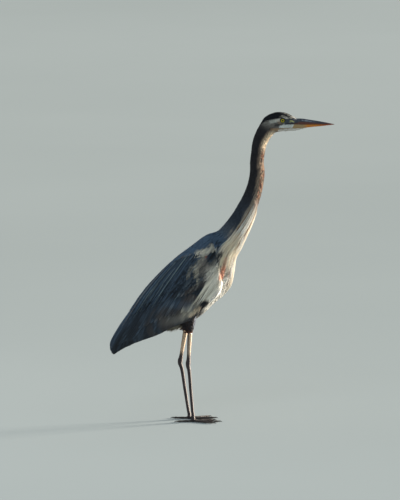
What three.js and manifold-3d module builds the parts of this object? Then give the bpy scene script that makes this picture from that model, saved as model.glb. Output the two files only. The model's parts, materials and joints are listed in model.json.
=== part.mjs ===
// A great blue heron, life size, standing on both feet with its neck stretched up.
// Millimetres, +Z up. The bird faces +X and its left side is +Y. The body is built about the plane
// Y = 0 with the soles at Z = 0, and the finished group is then moved so that the origin lies on the
// floor under the middle of the bird's overall box.
//
// The trunk, neck and head are one loft, parted into nodes by thin cuts. The folded wings and the
// mantle lie on a second surface, the cloak, which wraps the trunk from the shoulders to the wing tips.
// Long feathers are tapered vanes laid on these surfaces and fused to the node that they grow from.

import * as THREE from "three";
import { mergeVertices } from "three/addons/utils/BufferGeometryUtils.js";
import Module from "manifold-3d";

const wasm = await Module();
wasm.setup();

// ---------------------------------------------------------------- driving sizes
const GAP = 0.3; // between nodes that touch
const BILL_LENGTH = 133; // from the forehead feathers to the tip
const EYE_DIAMETER = 17; // of the whole eyeball
const TARSUS_LENGTH = 200; // from the hock to the toes
const LEG_SPACING = 64; // between the two legs, across the body
const ANKLE_HEIGHT = 11; // of the toe joint above the floor
const MIDDLE_TOE = 88; // without its claw
const VANE_THICKNESS = 0.6; // of a long feather
const SKIN_SIDES = 20; // of the trunk, neck and head

// ---------------------------------------------------------------- materials
const finish = (color, roughness) => new THREE.MeshStandardMaterial({ color, roughness, metalness: 0 });
const SLATE = finish(0x56616c, 0.75);
const DARK_SLATE = finish(0x2f3840, 0.7);
const NECK_GREY = finish(0x8c8580, 0.8);
const WHITE = finish(0xe8e6df, 0.8);
const CHESTNUT = finish(0x6b3d2e, 0.8);
const HORN_DARK = finish(0x4a3f38, 0.4);
const HORN_YELLOW = finish(0xd08a2c, 0.4);
const IRIS = finish(0xe8c52a, 0.15);
const LEG_SKIN = finish(0x4b4139, 0.6);
const CLAW_HORN = finish(0x26211e, 0.35);

// ---------------------------------------------------------------- solids from grids and rings
const rad = THREE.MathUtils.degToRad;
const v3 = (x, y, z) => new THREE.Vector3(x, y, z);

function manifoldOf(points, triangles) {
  const vertProperties = new Float32Array(points.flatMap((p) => [p.x, p.y, p.z]));
  const triVerts = new Uint32Array(triangles.flat());
  const made = new wasm.Manifold(new wasm.Mesh({ numProp: 3, vertProperties, triVerts }));
  if (made.volume() > 0) return made;
  const turned = new Uint32Array(triangles.flatMap(([a, b, c]) => [a, c, b]));
  return new wasm.Manifold(new wasm.Mesh({ numProp: 3, vertProperties, triVerts: turned }));
}

// A closed skin over rings of points, one ring per step, each end closed by a flat fan.
function loft(rings) {
  const sides = rings[0].length;
  const points = rings.flat();
  const triangles = [];
  for (let i = 0; i + 1 < rings.length; i++)
    for (let j = 0; j < sides; j++) {
      const a = i * sides + j;
      const b = i * sides + ((j + 1) % sides);
      triangles.push([a, b, b + sides], [a, b + sides, a + sides]);
    }
  const last = (rings.length - 1) * sides;
  for (let j = 1; j + 1 < sides; j++)
    triangles.push([0, j + 1, j], [last, last + j, last + j + 1]);
  return manifoldOf(points, triangles);
}

// A sheet with thickness: two grids of points, split into triangles alike on both faces.
function sheet(top, bottom) {
  const rows = top.length;
  const columns = top[0].length;
  const points = [...top.flat(), ...bottom.flat()];
  const under = rows * columns;
  const at = (i, j) => i * columns + j;
  const triangles = [];
  for (let i = 0; i + 1 < rows; i++)
    for (let j = 0; j + 1 < columns; j++) {
      const [a, b, c, d] = [at(i, j), at(i, j + 1), at(i + 1, j + 1), at(i + 1, j)];
      triangles.push([a, b, c], [a, c, d]);
      triangles.push([under + a, under + c, under + b], [under + a, under + d, under + c]);
    }
  const rim = [];
  for (let j = 0; j + 1 < columns; j++) rim.push(at(0, j));
  for (let i = 0; i + 1 < rows; i++) rim.push(at(i, columns - 1));
  for (let j = columns - 1; j > 0; j--) rim.push(at(rows - 1, j));
  for (let i = rows - 1; i > 0; i--) rim.push(at(i, 0));
  rim.forEach((a, k) => {
    const b = rim[(k + 1) % rim.length];
    triangles.push([a, under + a, under + b], [a, under + b, b]);
  });
  return manifoldOf(points, triangles);
}

// A limb of oval section through stations [x, y, z, radius along X, radius across], ends flat.
function limb(stations, sides = 10) {
  const path = stations.map(([x, y, z]) => v3(x, y, z));
  const rings = stations.map(([, , , along, across], i) => {
    const ahead = path[Math.min(i + 1, path.length - 1)];
    const behind = path[Math.max(i - 1, 0)];
    const way = ahead.clone().sub(behind).normalize();
    const reference = Math.abs(way.z) > 0.6 ? v3(1, 0, 0) : v3(0, 0, 1);
    const first = reference.sub(way.clone().multiplyScalar(reference.dot(way))).normalize();
    const second = way.clone().cross(first);
    return Array.from({ length: sides }, (_, j) => {
      const angle = (2 * Math.PI * j) / sides;
      return path[i]
        .clone()
        .addScaledVector(first, along * Math.cos(angle))
        .addScaledVector(second, across * Math.sin(angle));
    });
  });
  return loft(rings);
}

function solidOf(geometry) {
  geometry.deleteAttribute("normal");
  geometry.deleteAttribute("uv");
  const merged = mergeVertices(geometry, 1e-4);
  return new wasm.Manifold(
    new wasm.Mesh({
      numProp: 3,
      vertProperties: new Float32Array(merged.attributes.position.array),
      triVerts: new Uint32Array(merged.index.array),
    }),
  );
}

const box = (width, depth, height, x, y, z) =>
  solidOf(new THREE.BoxGeometry(width, depth, height).translate(x, y, z));

// What lies between two heights.
const between = (solid, low, high) => solid.intersect(box(2000, 2000, high - low, 0, 0, (low + high) / 2));

// The largest closed piece of a solid.
function largest(solid) {
  const pieces = solid.decompose();
  return pieces.reduce((a, b) => (b.volume() > a.volume() ? b : a));
}

const bird = new THREE.Group();

function node(name, solid, material) {
  const mesh = largest(solid).getMesh();
  const geometry = new THREE.BufferGeometry();
  geometry.setAttribute("position", new THREE.BufferAttribute(new Float32Array(mesh.vertProperties), 3));
  geometry.setIndex(new THREE.BufferAttribute(new Uint32Array(mesh.triVerts), 1));
  geometry.computeVertexNormals();
  const made = new THREE.Mesh(geometry, material);
  made.name = name;
  bird.add(made);
  return made;
}

const SIDES = [
  ["right", -1],
  ["left", 1],
];

// ---------------------------------------------------------------- the trunk, neck and head
// Each station is a cut across the body: the point on the back, the point on the belly, half the width.
const TRUNK = [
  { back: [-165, 376], belly: [-142, 339], half: 15 }, // rump
  { back: [-163, 419], belly: [-85, 321], half: 36 }, // vent
  { back: [-145, 469], belly: [-22, 344], half: 50 },
  { back: [-112, 512], belly: [28, 371], half: 56 }, // legs
  { back: [-62, 559], belly: [78, 417], half: 58 },
  { back: [-34, 581], belly: [106, 441], half: 58 },
  { back: [6, 611], belly: [136, 480], half: 55 }, // breast
  { back: [38, 638], belly: [146, 529], half: 49 },
  { back: [73, 661], belly: [153, 580], half: 43 }, // shoulders
  { back: [98, 678], belly: [168, 608], half: 39 },
  { back: [126, 710], belly: [190, 658], half: 34 }, // foot of the neck
  { back: [147, 740], belly: [211, 707], half: 29.5 },
  { back: [168, 776], belly: [229, 760], half: 25 },
  { back: [184, 808], belly: [240, 796], half: 22 },
  { back: [197, 846], belly: [249, 838], half: 19.5 },
  { back: [203, 882], belly: [253, 880], half: 18 },
  { back: [203, 914], belly: [250, 914], half: 17 },
  { back: [207, 949], belly: [253, 944], half: 17 },
  { back: [211, 982], belly: [259, 973], half: 17.5 },
  { back: [219, 1009], belly: [270, 995], half: 18.5 },
  { back: [236, 1044], belly: [290, 1018], half: 20 }, // nape and throat
  { back: [257, 1073], belly: [306, 1022], half: 21 },
  { back: [290, 1088], belly: [322, 1024], half: 21.5 }, // crown and cheek
  { back: [325, 1088], belly: [341, 1026], half: 19 },
  { back: [350, 1077], belly: [358, 1027], half: 15 },
  { back: [366, 1068], belly: [373, 1030], half: 11 }, // root of the bill
];
const [NECK_FOOT, MID_NECK, NECK_TOP, BILL_ROOT] = [10, 14.5, 19.4, 25]; // the thin cuts, in stations

const surface = (stations) => {
  const last = stations.length - 1;
  const back = new THREE.CatmullRomCurve3(stations.map((s) => v3(s.back[0], s.half, s.back[1])));
  const belly = new THREE.CatmullRomCurve3(stations.map((s) => v3(s.belly[0], 0, s.belly[1])));
  // The point at a station (a fraction between two is allowed), at an angle from the back round to
  // the side, lifted off the surface.
  return (station, angle, lift = 0) => {
    const t = THREE.MathUtils.clamp(station / last, 0, 1);
    const top = back.getPoint(t);
    const low = belly.getPoint(t);
    const half = top.y;
    top.y = 0;
    const centre = top.clone().add(low).multiplyScalar(0.5);
    const depth = top.distanceTo(low) / 2;
    const up = top.sub(centre).normalize();
    return centre
      .addScaledVector(up, (depth + lift) * Math.cos(angle))
      .add(v3(0, (half + lift) * Math.sin(angle), 0));
  };
};
const trunkPoint = surface(TRUNK);

function trunkRing(station, lift = 0) {
  return Array.from({ length: SKIN_SIDES }, (_, j) =>
    trunkPoint(station, (2 * Math.PI * j) / SKIN_SIDES, lift),
  );
}

function trunkLoft(from, to, step, lift = 0) {
  const count = Math.max(1, Math.round((to - from) / step));
  const rings = Array.from({ length: count + 1 }, (_, i) =>
    trunkRing(from + ((to - from) * i) / count, lift),
  );
  return loft(rings);
}

const mix = THREE.MathUtils.lerp;
const smooth = THREE.MathUtils.smoothstep;
const CUT = 0.005; // half of a thin cut, in stations: about 0.15 mm
const torsoSkin = trunkLoft(0, NECK_FOOT - CUT, 0.6);
const torsoClear = trunkLoft(0, NECK_FOOT - CUT, 0.6, GAP);
node("torso", torsoSkin, WHITE);

// ---------------------------------------------------------------- long feathers
// The outline of a vane along its length, as a share of its half width.
const flightOutline = (t) => mix(0.5, 1, smooth(t, 0, 0.5)) * mix(1, 0.28, t ** 5);
const plumeOutline = (t) => mix(0.5, 1, smooth(t, 0, 0.35)) * mix(1, 0.12, t ** 1.8);

// The step across a feather, as [stations, radians] for each millimetre, where the feather runs
// along [stations, radians] on a surface. It points to the side that lies further round.
function acrossStep(place, station, angle, run, side) {
  const small = 1e-3;
  const here = place(station, angle);
  const alongStation = place(station - small, angle).sub(here).divideScalar(-small);
  const alongAngle = place(station, angle + small).sub(here).divideScalar(small);
  const way = alongStation.clone().multiplyScalar(run[0]).addScaledVector(alongAngle, run[1]);
  const across = way.cross(alongStation.clone().cross(alongAngle)).normalize();
  const [ss, aa, sa] = [alongStation.lengthSq(), alongAngle.lengthSq(), alongStation.dot(alongAngle)];
  const [bs, ba] = [across.dot(alongStation), across.dot(alongAngle)];
  const scale = 1 / (ss * aa - sa * sa);
  const step = [(bs * aa - ba * sa) * scale, (ba * ss - bs * sa) * scale];
  return step[1] * side < 0 ? step.map((value) => -value) : step;
}

// A feather that lies on a surface, from its root to its tip, each given as [station, degrees from the
// back]. It starts sunk below the surface and rises off it until the share settle of its row's depth.
// The edge that lies further round is tilted up, so that the feathers of a row lap like shingles.
function vane(place, side, feather) {
  const { root, tip, half, rows, sunk, rise, depth, tilt = 0, columns = 2 } = feather;
  const { outline = flightOutline, settle = 0.5 } = feather;
  const run = [tip[0] - root[0], side * rad(tip[1] - root[1])];
  const face = (under) =>
    Array.from({ length: rows + 1 }, (_, i) => {
      const t = 1 - (1 - i / rows) ** 1.4;
      const station = root[0] + run[0] * t;
      const angle = side * rad(root[1]) + run[1] * t;
      const step = acrossStep(place, station, angle, run, side);
      return Array.from({ length: columns + 1 }, (_, j) => {
        const edge = (2 * j) / columns - 1;
        const out = edge * half * outline(t);
        const at = [station + step[0] * out, angle + step[1] * out];
        const lift = mix(-sunk, rise, smooth(depth(...at), 0, settle)) - under;
        return place(...at, lift + tilt * edge + 0.3 * (1 - Math.abs(edge)));
      });
    });
  return sheet(face(0), face(VANE_THICKNESS));
}

// A row of feathers from the first to the last, with those between set evenly and their tips a little
// uneven, as real ones are. A place's depth in the row is 0 on the line of the roots and about 1 on the
// line of the tips, and is alike for neighbours, which therefore don't cross.
function tier(place, side, count, first, last, common) {
  const line = [last.root[0] - first.root[0], rad(last.root[1] - first.root[1])];
  const off = (station, angle) => line[0] * (angle - rad(first.root[1])) - line[1] * (station - first.root[0]);
  const far = off((first.tip[0] + last.tip[0]) / 2, rad(first.tip[1] + last.tip[1]) / 2);
  const depth = (station, angle) => off(station, side * angle) / far;
  return Array.from({ length: count }, (_, i) => {
    const share = i / (count - 1);
    const feather = { ...common, depth };
    for (const [key, value] of Object.entries(first))
      feather[key] = Array.isArray(value)
        ? value.map((part, k) => mix(part, last[key][k], share))
        : mix(value, last[key], share);
    feather.tip[0] += 0.05 * Math.sin(2.4 * i + side);
    return vane(place, side, feather);
  });
}

const fuse = (solids) => wasm.Manifold.union(solids);

// Long plumes hang from the foot of the neck over the breast, in two layers.
const PLUME = { rows: 6, columns: 1, outline: plumeOutline, tilt: 0.6 };
const breastPlumes = (side) =>
  [0, 1].flatMap((layer) =>
    tier(
      trunkPoint,
      side,
      4,
      { root: [11.5 + layer, 174 - 7 * layer], tip: [5.4 + 1.1 * layer, 174 - 6 * layer], half: 5 },
      { root: [11 + layer, 136 - 7 * layer], tip: [8 + 0.6 * layer, 132 - 6 * layer], half: 4.4 },
      { ...PLUME, rows: 5, sunk: 3 - 1.8 * layer, rise: 3.2 + 1.8 * layer, settle: 0.2 },
    ),
  );
const neckLower = trunkLoft(NECK_FOOT + CUT, MID_NECK - CUT, 0.5);
const plumes = fuse([...breastPlumes(-1), ...breastPlumes(1)]).subtract(torsoClear);
node("neck_lower", neckLower.add(plumes), NECK_GREY);
node("neck_upper", trunkLoft(MID_NECK + CUT, NECK_TOP - CUT, 0.5), NECK_GREY);

// ---------------------------------------------------------------- head, eyes and bill
const EYE = v3(316, 12.4, 1062.5);
const GAPE = [311, 1050.5]; // the corner of the mouth
const MOUTH_ROOT = [366, 1048.5];
const TIP = [364 + BILL_LENGTH, 1047];
const MOUTH_GAP = 0.4;

// The mouth line as a thin slab through the whole width of the head and bill.
function mouthSlab() {
  const line = [GAPE, MOUTH_ROOT, [TIP[0] + 6, TIP[1]]];
  const outline = new THREE.Shape([
    ...line.map(([x, z]) => new THREE.Vector2(x, z + MOUTH_GAP / 2)),
    ...line.reverse().map(([x, z]) => new THREE.Vector2(x, z - MOUTH_GAP / 2)),
  ]);
  const slab = new THREE.ExtrudeGeometry(outline, { depth: 80, bevelEnabled: false });
  return solidOf(slab.translate(0, 0, -40).rotateX(Math.PI / 2));
}

const eyeball = (side, extra = 0) =>
  solidOf(
    new THREE.SphereGeometry(EYE_DIAMETER / 2 + extra, 14, 9)
      .rotateX(Math.PI / 2)
      .translate(EYE.x, side * EYE.y, EYE.z),
  );

// The lids are a ring of bare skin that stands a little proud of the head, round the opening that the
// eye shows through.
const LID = { radius: 7.3, thickness: 1.3, out: 6.6 };
const OPENING = { radius: 6.4, from: 16, to: 26 };
const opening = (side) =>
  solidOf(
    new THREE.CylinderGeometry(OPENING.radius, OPENING.radius, OPENING.to - OPENING.from, 12)
      .translate(EYE.x, (side * (OPENING.from + OPENING.to)) / 2, EYE.z),
  );
const lidRing = (side) =>
  solidOf(
    new THREE.TorusGeometry(LID.radius, LID.thickness, 5, 14)
      .rotateX(Math.PI / 2)
      .translate(EYE.x, side * (EYE.y + LID.out), EYE.z),
  );

// The black feathers of the crown end in a few flat points on the nape.
const crestVanes = (side) =>
  tier(
    trunkPoint,
    side,
    2,
    { root: [22.4, 18], tip: [20, 11] },
    { root: [22.4, 42], tip: [20.4, 27] },
    { ...PLUME, rows: 3, half: 4.5, sunk: 2, rise: 1.6 },
  );

const MOUTH_DEPTH = 2.2; // how far the line of the gape goes into the cheek
const slab = mouthSlab();
const cheekCore = trunkLoft(NECK_TOP - 1, BILL_ROOT, 1.6, -MOUTH_DEPTH);
const openings = SIDES.map(([, side]) => opening(side));
const skull = trunkLoft(NECK_TOP + CUT, BILL_ROOT - CUT, 0.5).subtract(fuse([slab.subtract(cheekCore), ...openings]));
const trim = SIDES.flatMap(([, side]) => [lidRing(side), ...crestVanes(side)]);
const sockets = SIDES.map(([, side]) => eyeball(side, GAP));
node("head", fuse([skull, ...trim]).subtract(fuse(sockets)), WHITE);
for (const [name, side] of SIDES) node(`eye_${name}`, eyeball(side), IRIS);

const BILL = [
  { back: [366.3, 1068], belly: [373.3, 1030], half: 11 },
  { back: [384, 1067.5], belly: [387, 1032.5], half: 10 },
  { back: [402, 1065], belly: [402, 1036], half: 8.6 },
  { back: [425, 1061.5], belly: [425, 1038.5], half: 7 },
  { back: [447, 1058], belly: [447, 1040.5], half: 5.4 },
  { back: [480, 1051.5], belly: [480, 1044.5], half: 2.6 },
  { back: [TIP[0], TIP[1] + 0.8], belly: [TIP[0], TIP[1] - 0.8], half: 0.7 },
];
const billPoint = surface(BILL);
const BILL_SIDES = 12;
const billRings = Array.from({ length: 13 }, (_, i) =>
  Array.from({ length: BILL_SIDES }, (_, j) => billPoint(i / 2, (2 * Math.PI * j) / BILL_SIDES)),
);
const NOSTRIL = { x: 389, z: 1058.5, length: 11, height: 2.4 };
const nostril = (side) =>
  solidOf(
    new THREE.SphereGeometry(1, 10, 6)
      .scale(NOSTRIL.length / 2, 2, NOSTRIL.height / 2)
      .translate(NOSTRIL.x, side * 9.2, NOSTRIL.z),
  );
const bill = loft(billRings).subtract(slab).subtract(nostril(-1)).subtract(nostril(1));
const mandibles = bill.decompose().sort((a, b) => b.boundingBox().max[2] - a.boundingBox().max[2]);
node("bill_upper", mandibles[0], HORN_DARK);
node("bill_lower", mandibles[1], HORN_YELLOW);

// ---------------------------------------------------------------- the cloak: wings and mantle
// Each station is a cut across the folded wing: the ridge of the back, the lower edge of the wing and
// half the width over both wings. The lower edge lies EDGE_ANGLE round from the back.
const EDGE_ANGLE = rad(120);
const WING = [
  { ridge: [82, 671], edge: [112, 525], half: 50 }, // bend of the wing
  { ridge: [49, 654], edge: [92, 460], half: 58 },
  { ridge: [5, 621], edge: [49, 421], half: 65 },
  { ridge: [-58, 573], edge: [3, 375], half: 68 },
  { ridge: [-122, 512], edge: [-60, 348], half: 66 },
  { ridge: [-172, 455], edge: [-125, 314], half: 57 },
  { ridge: [-217, 389], edge: [-175, 294], half: 45 },
  { ridge: [-256, 331], edge: [-218, 275], half: 35 },
  { ridge: [-284, 280], edge: [-248, 253], half: 24 },
  { ridge: [-290, 250], edge: [-273, 233], half: 14 }, // tip
];
// Where the edge lies at EDGE_ANGLE, the far side of the section lies this many times as far down.
const SPAN = 2 / (1 - Math.cos(EDGE_ANGLE));
const cloakPoint = surface(
  WING.map(({ ridge, edge, half }) => ({
    back: ridge,
    belly: [ridge[0] + (edge[0] - ridge[0]) * SPAN, ridge[1] + (edge[1] - ridge[1]) * SPAN],
    half,
  })),
);

// The line between the mantle and the wing, as an angle from the ridge.
const seam = (station) => mix(rad(48), rad(2.5), smooth(station, 2.2, 4.6));

// Both sides of the seam have their rows here, so that they stay the same gap apart.
const SEAM_ROWS = [0.7, 1.5, 2.2, 2.7, 3.1, 3.5, 3.9, 4.3, 4.7];
const REAR_ROWS = [5.6, 6.5, 7.4, 8.3];

// A pad of the cloak over a row of stations, between two angle lines, from an inner to an outer lift.
function pad({ stations, low, high, columns, outer, inner, side = 1 }) {
  const grid = (lift) =>
    stations.map((station) => {
      return Array.from({ length: columns + 1 }, (_, j) => {
        const share = j / columns;
        const angle = mix(low(station), high(station), share);
        return cloakPoint(station, side * angle, lift(station, share));
      });
    });
  return sheet(grid(outer), grid(inner));
}

// The mantle covers the shoulders, and its long scapular plumes trail over both wings.
const mantleLine = (station) => Math.max(rad(1), seam(station) - rad(1));
const mantlePad = pad({
  stations: [0.05, ...SEAM_ROWS],
  low: (s) => -mantleLine(s),
  high: mantleLine,
  columns: 8,
  outer: (s) => mix(-1.5, 0.5, smooth(s, 0, 1.5)),
  inner: () => -16,
});
const scapularPlumes = (side) =>
  [0, 1].flatMap((layer) =>
    tier(
      cloakPoint,
      side,
      4,
      { root: [1.1 + 0.17 * layer, 27 - 2 * layer], tip: [4.3 + 0.25 * layer, 80 - 6 * layer] },
      { root: [2.2 + 0.17 * layer, 9 - 2 * layer], tip: [5.8 + 0.25 * layer, 42 - 6 * layer] },
      { ...PLUME, half: 5.5, sunk: 4 - 1.8 * layer, rise: 7 + 1.8 * layer, settle: 0.28 },
    ),
  );
const mantle = fuse([mantlePad.subtract(torsoClear), ...scapularPlumes(-1), ...scapularPlumes(1)]);
node("mantle", mantle, SLATE);

// Each wing has a core that its feathers grow from.
const CORE_TOP = -2.2;
const coreDepth = (station) => mix(15, 3.6, smooth(station, 3.2, 7.5));
const wingCore = (side) =>
  pad({
    stations: [0, ...SEAM_ROWS, ...REAR_ROWS],
    low: seam,
    high: () => EDGE_ANGLE,
    columns: 5,
    outer: (s, share) => {
      const rounded = mix(-4, CORE_TOP, Math.min(1, 3 * Math.sin(Math.PI * share)));
      return rounded - 4 * (1 - smooth(s, 0, 0.8));
    },
    inner: (s) => -coreDepth(s),
    side,
  });

// The tiers of a folded wing. Each row runs from the feather nearest the breast to the last one, and lies
// clear over the row below it.
const FLIGHT = { rows: 4, sunk: 3, settle: 0.9, tilt: 1.2 };
const COVERT = { rows: 3, sunk: 3.4, settle: 0.9, tilt: 1.2 };
const secondaries = (side) =>
  tier(
    cloakPoint,
    side,
    8,
    { root: [1.9, 66], tip: [2.9, 123], half: 18, rise: 0.4 },
    { root: [5.4, 75], tip: [7, 124], half: 10.5, rise: 0.4 },
    FLIGHT,
  );
const primaries = (side) =>
  tier(
    cloakPoint,
    side,
    4,
    { root: [5.9, 84], tip: [7.9, 121], half: 10, rise: 0.4 },
    { root: [6.6, 50], tip: [8.95, 72], half: 8, rise: 0.4 },
    FLIGHT,
  );
const tertials = (side) =>
  tier(
    cloakPoint,
    side,
    4,
    { root: [4.7, 62], tip: [6.9, 98], half: 13, rise: 3.9 },
    { root: [6, 24], tip: [8.6, 36], half: 8, rise: 3.9 },
    FLIGHT,
  );
const greaterCoverts = (side) =>
  tier(
    cloakPoint,
    side,
    7,
    { root: [1.4, 62], tip: [2.2, 94], half: 17.5, rise: 2.4 },
    { root: [4.3, 42], tip: [5.8, 58], half: 12, rise: 2.9 },
    COVERT,
  );
const medianCoverts = (side) =>
  tier(
    cloakPoint,
    side,
    5,
    { root: [0.6, 64], tip: [1.2, 82], half: 16, rise: 3.6 },
    { root: [3.2, 46], tip: [4.2, 56], half: 12, rise: 3.6 },
    COVERT,
  );

for (const [name, side] of SIDES) {
  const tiers = [secondaries, primaries, tertials, greaterCoverts, medianCoverts];
  const feathers = tiers.flatMap((row) => row(side));
  node(`wing_${name}`, fuse([wingCore(side), ...feathers]).subtract(torsoClear), SLATE);
}

// ---------------------------------------------------------------- tail
const TAIL_ROOT = [-152, 358];
const TAIL_TIP = [-266, 245];
const TAIL_HALF = 19;
const TAIL_PAIRS = 6;

// The tail lies on a shallow arch, from its root to its tip, t along and so far across.
function tailPoint(t, across, lift) {
  const x = mix(TAIL_ROOT[0], TAIL_TIP[0], t);
  const z = mix(TAIL_ROOT[1], TAIL_TIP[1], t);
  const height = lift - 0.006 * across * across;
  return v3(x - height * Math.SQRT1_2, across, z + height * Math.SQRT1_2);
}

// One tail feather: the outer ones lie under the inner ones and are a little shorter.
function rectrix(pair, side) {
  const share = (pair + 0.5) / TAIL_PAIRS;
  const lift = 3 - 1.1 * pair + 0.3 * side;
  const rows = 3;
  const face = (under) =>
    Array.from({ length: rows + 1 }, (_, i) => {
      const t = i / rows;
      const reach = t * (1 - 0.05 * share * share);
      const middle = side * share * TAIL_HALF * mix(0.45, 1, t);
      const half = mix(3.5, 6.5, smooth(t, 0, 0.6)) * (i === rows ? 0.55 : 1);
      const sunk = mix(0.5 * lift, lift, smooth(t, 0, 0.6));
      return [-1, 1].map((edge) => tailPoint(reach, middle + edge * half, sunk - under));
    });
  return sheet(face(0), face(VANE_THICKNESS));
}

const tailCore = () => {
  const face = (lift) =>
    [0, 0.55].map((t) => [-1, -0.33, 0.33, 1].map((edge) => tailPoint(t, edge * TAIL_HALF * mix(0.6, 0.8, t), lift)));
  return sheet(face(1), face(-2));
};
const rectrices = Array.from({ length: TAIL_PAIRS }, (_, pair) => [rectrix(pair, -1), rectrix(pair, 1)]);
node("tail", fuse([tailCore(), ...rectrices.flat()]).subtract(torsoClear), DARK_SLATE);

// ---------------------------------------------------------------- legs
// Where each leg's joints are: shin top, hock and ankle, in X. The right leg stands further forward.
const LEGS = {
  right: { shin: -8, hock: -13, ankle: 4 },
  left: { shin: -23, hock: -41, ankle: -10 },
};
const SHIN_TOP = 316;

// The room that a wing and the tips of its feathers take beside a thigh.
const wingShield = (side) => {
  const room = { stations: [...SEAM_ROWS, ...REAR_ROWS], columns: 4, side, outer: () => 4 };
  const body = pad({
    ...room,
    low: () => rad(60),
    high: () => EDGE_ANGLE + rad(1),
    inner: (s) => -coreDepth(s) - 1.2,
  });
  const tips = pad({
    ...room,
    low: () => EDGE_ANGLE - rad(5),
    high: () => EDGE_ANGLE + rad(9),
    inner: () => -2.5,
  });
  return body.add(tips);
};

for (const [name, side] of SIDES) {
  const leg = LEGS[name];
  const y = (side * LEG_SPACING) / 2;
  const fall = Math.sqrt(TARSUS_LENGTH ** 2 - (leg.hock - leg.ankle) ** 2);
  const hockHeight = ANKLE_HEIGHT + fall;
  const thigh = limb(
    [
      [leg.shin, y, SHIN_TOP, 8.5, 7.5],
      [leg.shin, y, SHIN_TOP + 16, 14, 12],
      [leg.shin - 4, y, SHIN_TOP + 38, 24, 18],
      [leg.shin - 12, y, SHIN_TOP + 75, 34, 22],
      [leg.shin - 16, y, SHIN_TOP + 110, 34, 22],
    ],
    16,
  );
  node(`thigh_${name}`, thigh.subtract(torsoClear).subtract(wingShield(side)), CHESTNUT);
  const kneeCut = hockHeight + 9;
  const ankleCut = ANKLE_HEIGHT + 6;
  const shin = limb([
    [leg.shin, y, SHIN_TOP + 5, 6.4, 5.6],
    [mix(leg.hock, leg.shin, 0.6), y, mix(hockHeight, SHIN_TOP, 0.6), 5.2, 4.4],
    [mix(leg.hock, leg.shin, 0.2), y, mix(hockHeight, SHIN_TOP, 0.2), 5.4, 4.4],
    [leg.hock, y, kneeCut - 4, 7.4, 6],
  ]);
  node(`shin_${name}`, between(shin, kneeCut + GAP, SHIN_TOP - GAP), LEG_SKIN);
  const tarsus = limb([
    [leg.hock, y, kneeCut + 5, 6.8, 5.4],
    [leg.hock - 1, y, hockHeight, 8.4, 6.6],
    [leg.hock - 1, y, hockHeight - 10, 7.6, 5.8],
    [mix(leg.hock, leg.ankle, 0.14), y, mix(hockHeight, ANKLE_HEIGHT, 0.14), 5.6, 4.2],
    [mix(leg.hock, leg.ankle, 0.5), y, mix(hockHeight, ANKLE_HEIGHT, 0.5), 4.8, 3.8],
    [mix(leg.hock, leg.ankle, 0.88), y, mix(hockHeight, ANKLE_HEIGHT, 0.88), 5, 4.2],
    [leg.ankle, y, ankleCut - 5, 6, 5.6],
  ]);
  node(`tarsus_${name}`, between(tarsus, ankleCut + GAP, kneeCut), LEG_SKIN);

  // Toes: the way each points, outwards from straight ahead, its share of the middle toe, its joints.
  const toes = [
    { turn: -20, share: 0.84, joints: 2 },
    { turn: 4, share: 1, joints: 3 },
    { turn: 29, share: 0.88, joints: 3 },
    { turn: 172, share: 0.6, joints: 2 },
  ];
  let foot = limb([
    [leg.ankle, y, ankleCut, 6, 5.6],
    [leg.ankle, y, ANKLE_HEIGHT, 6.6, 6.6],
    [leg.ankle, y, 3.5, 7, 7],
    [leg.ankle, y, -1, 6, 6],
  ]);
  toes.forEach(({ turn, share, joints }, k) => {
    const angle = rad(turn);
    const reach = MIDDLE_TOE * share;
    const way = v3(Math.cos(angle), side * Math.sin(angle), 0);
    const along = (t, z, r) => [leg.ankle + way.x * reach * t, y + way.y * reach * t, z, r, r * 1.08];
    const stations = [along(0, 6, 5.2)];
    for (let i = 1; i <= joints; i++) {
      const knuckle = i / joints;
      stations.push(along(knuckle - 0.5 / joints, 3.4, mix(4, 3, knuckle)));
      stations.push(along(knuckle - 0.08, 3.3, mix(4.6, 3.3, knuckle)));
    }
    stations.push(along(1, 3.2, 2.6));
    foot = foot.add(limb(stations, 6));
    const claw = limb(
      [
        along(1 + 0.6 / reach, 3.2, 2.4),
        along(1 + 6 / reach, 3.6, 2),
        along(1 + 11 / reach, 3, 1.3),
        along(1 + 15 / reach, 1.2, 0.4),
      ],
      6,
    );
    node(`claw_${name}_${k + 1}`, claw, CLAW_HORN);
  });
  const floor = box(400, 400, 20, 0, 0, -10);
  node(`foot_${name}`, foot.subtract(floor), LEG_SKIN);
}

// ---------------------------------------------------------------- the part's own frame
const bounds = new THREE.Box3().setFromObject(bird);
const middle = bounds.getCenter(new THREE.Vector3());
bird.position.set(-middle.x, -middle.y, -bounds.min.z);

export default bird;
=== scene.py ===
# %% [markdown]
# # A great blue heron, life size
# The bird stands still on both feet with its neck stretched up. The solids of the frame give the
# main shape and the place of every part. This lesson lays the fine surface over them: one skin,
# thousands of overlapping feathers, scaly legs, a horny bill and wet eyes.
# The frame comes first, because every piece is measured from it.

# %% Load the frame
import json
import math

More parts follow.
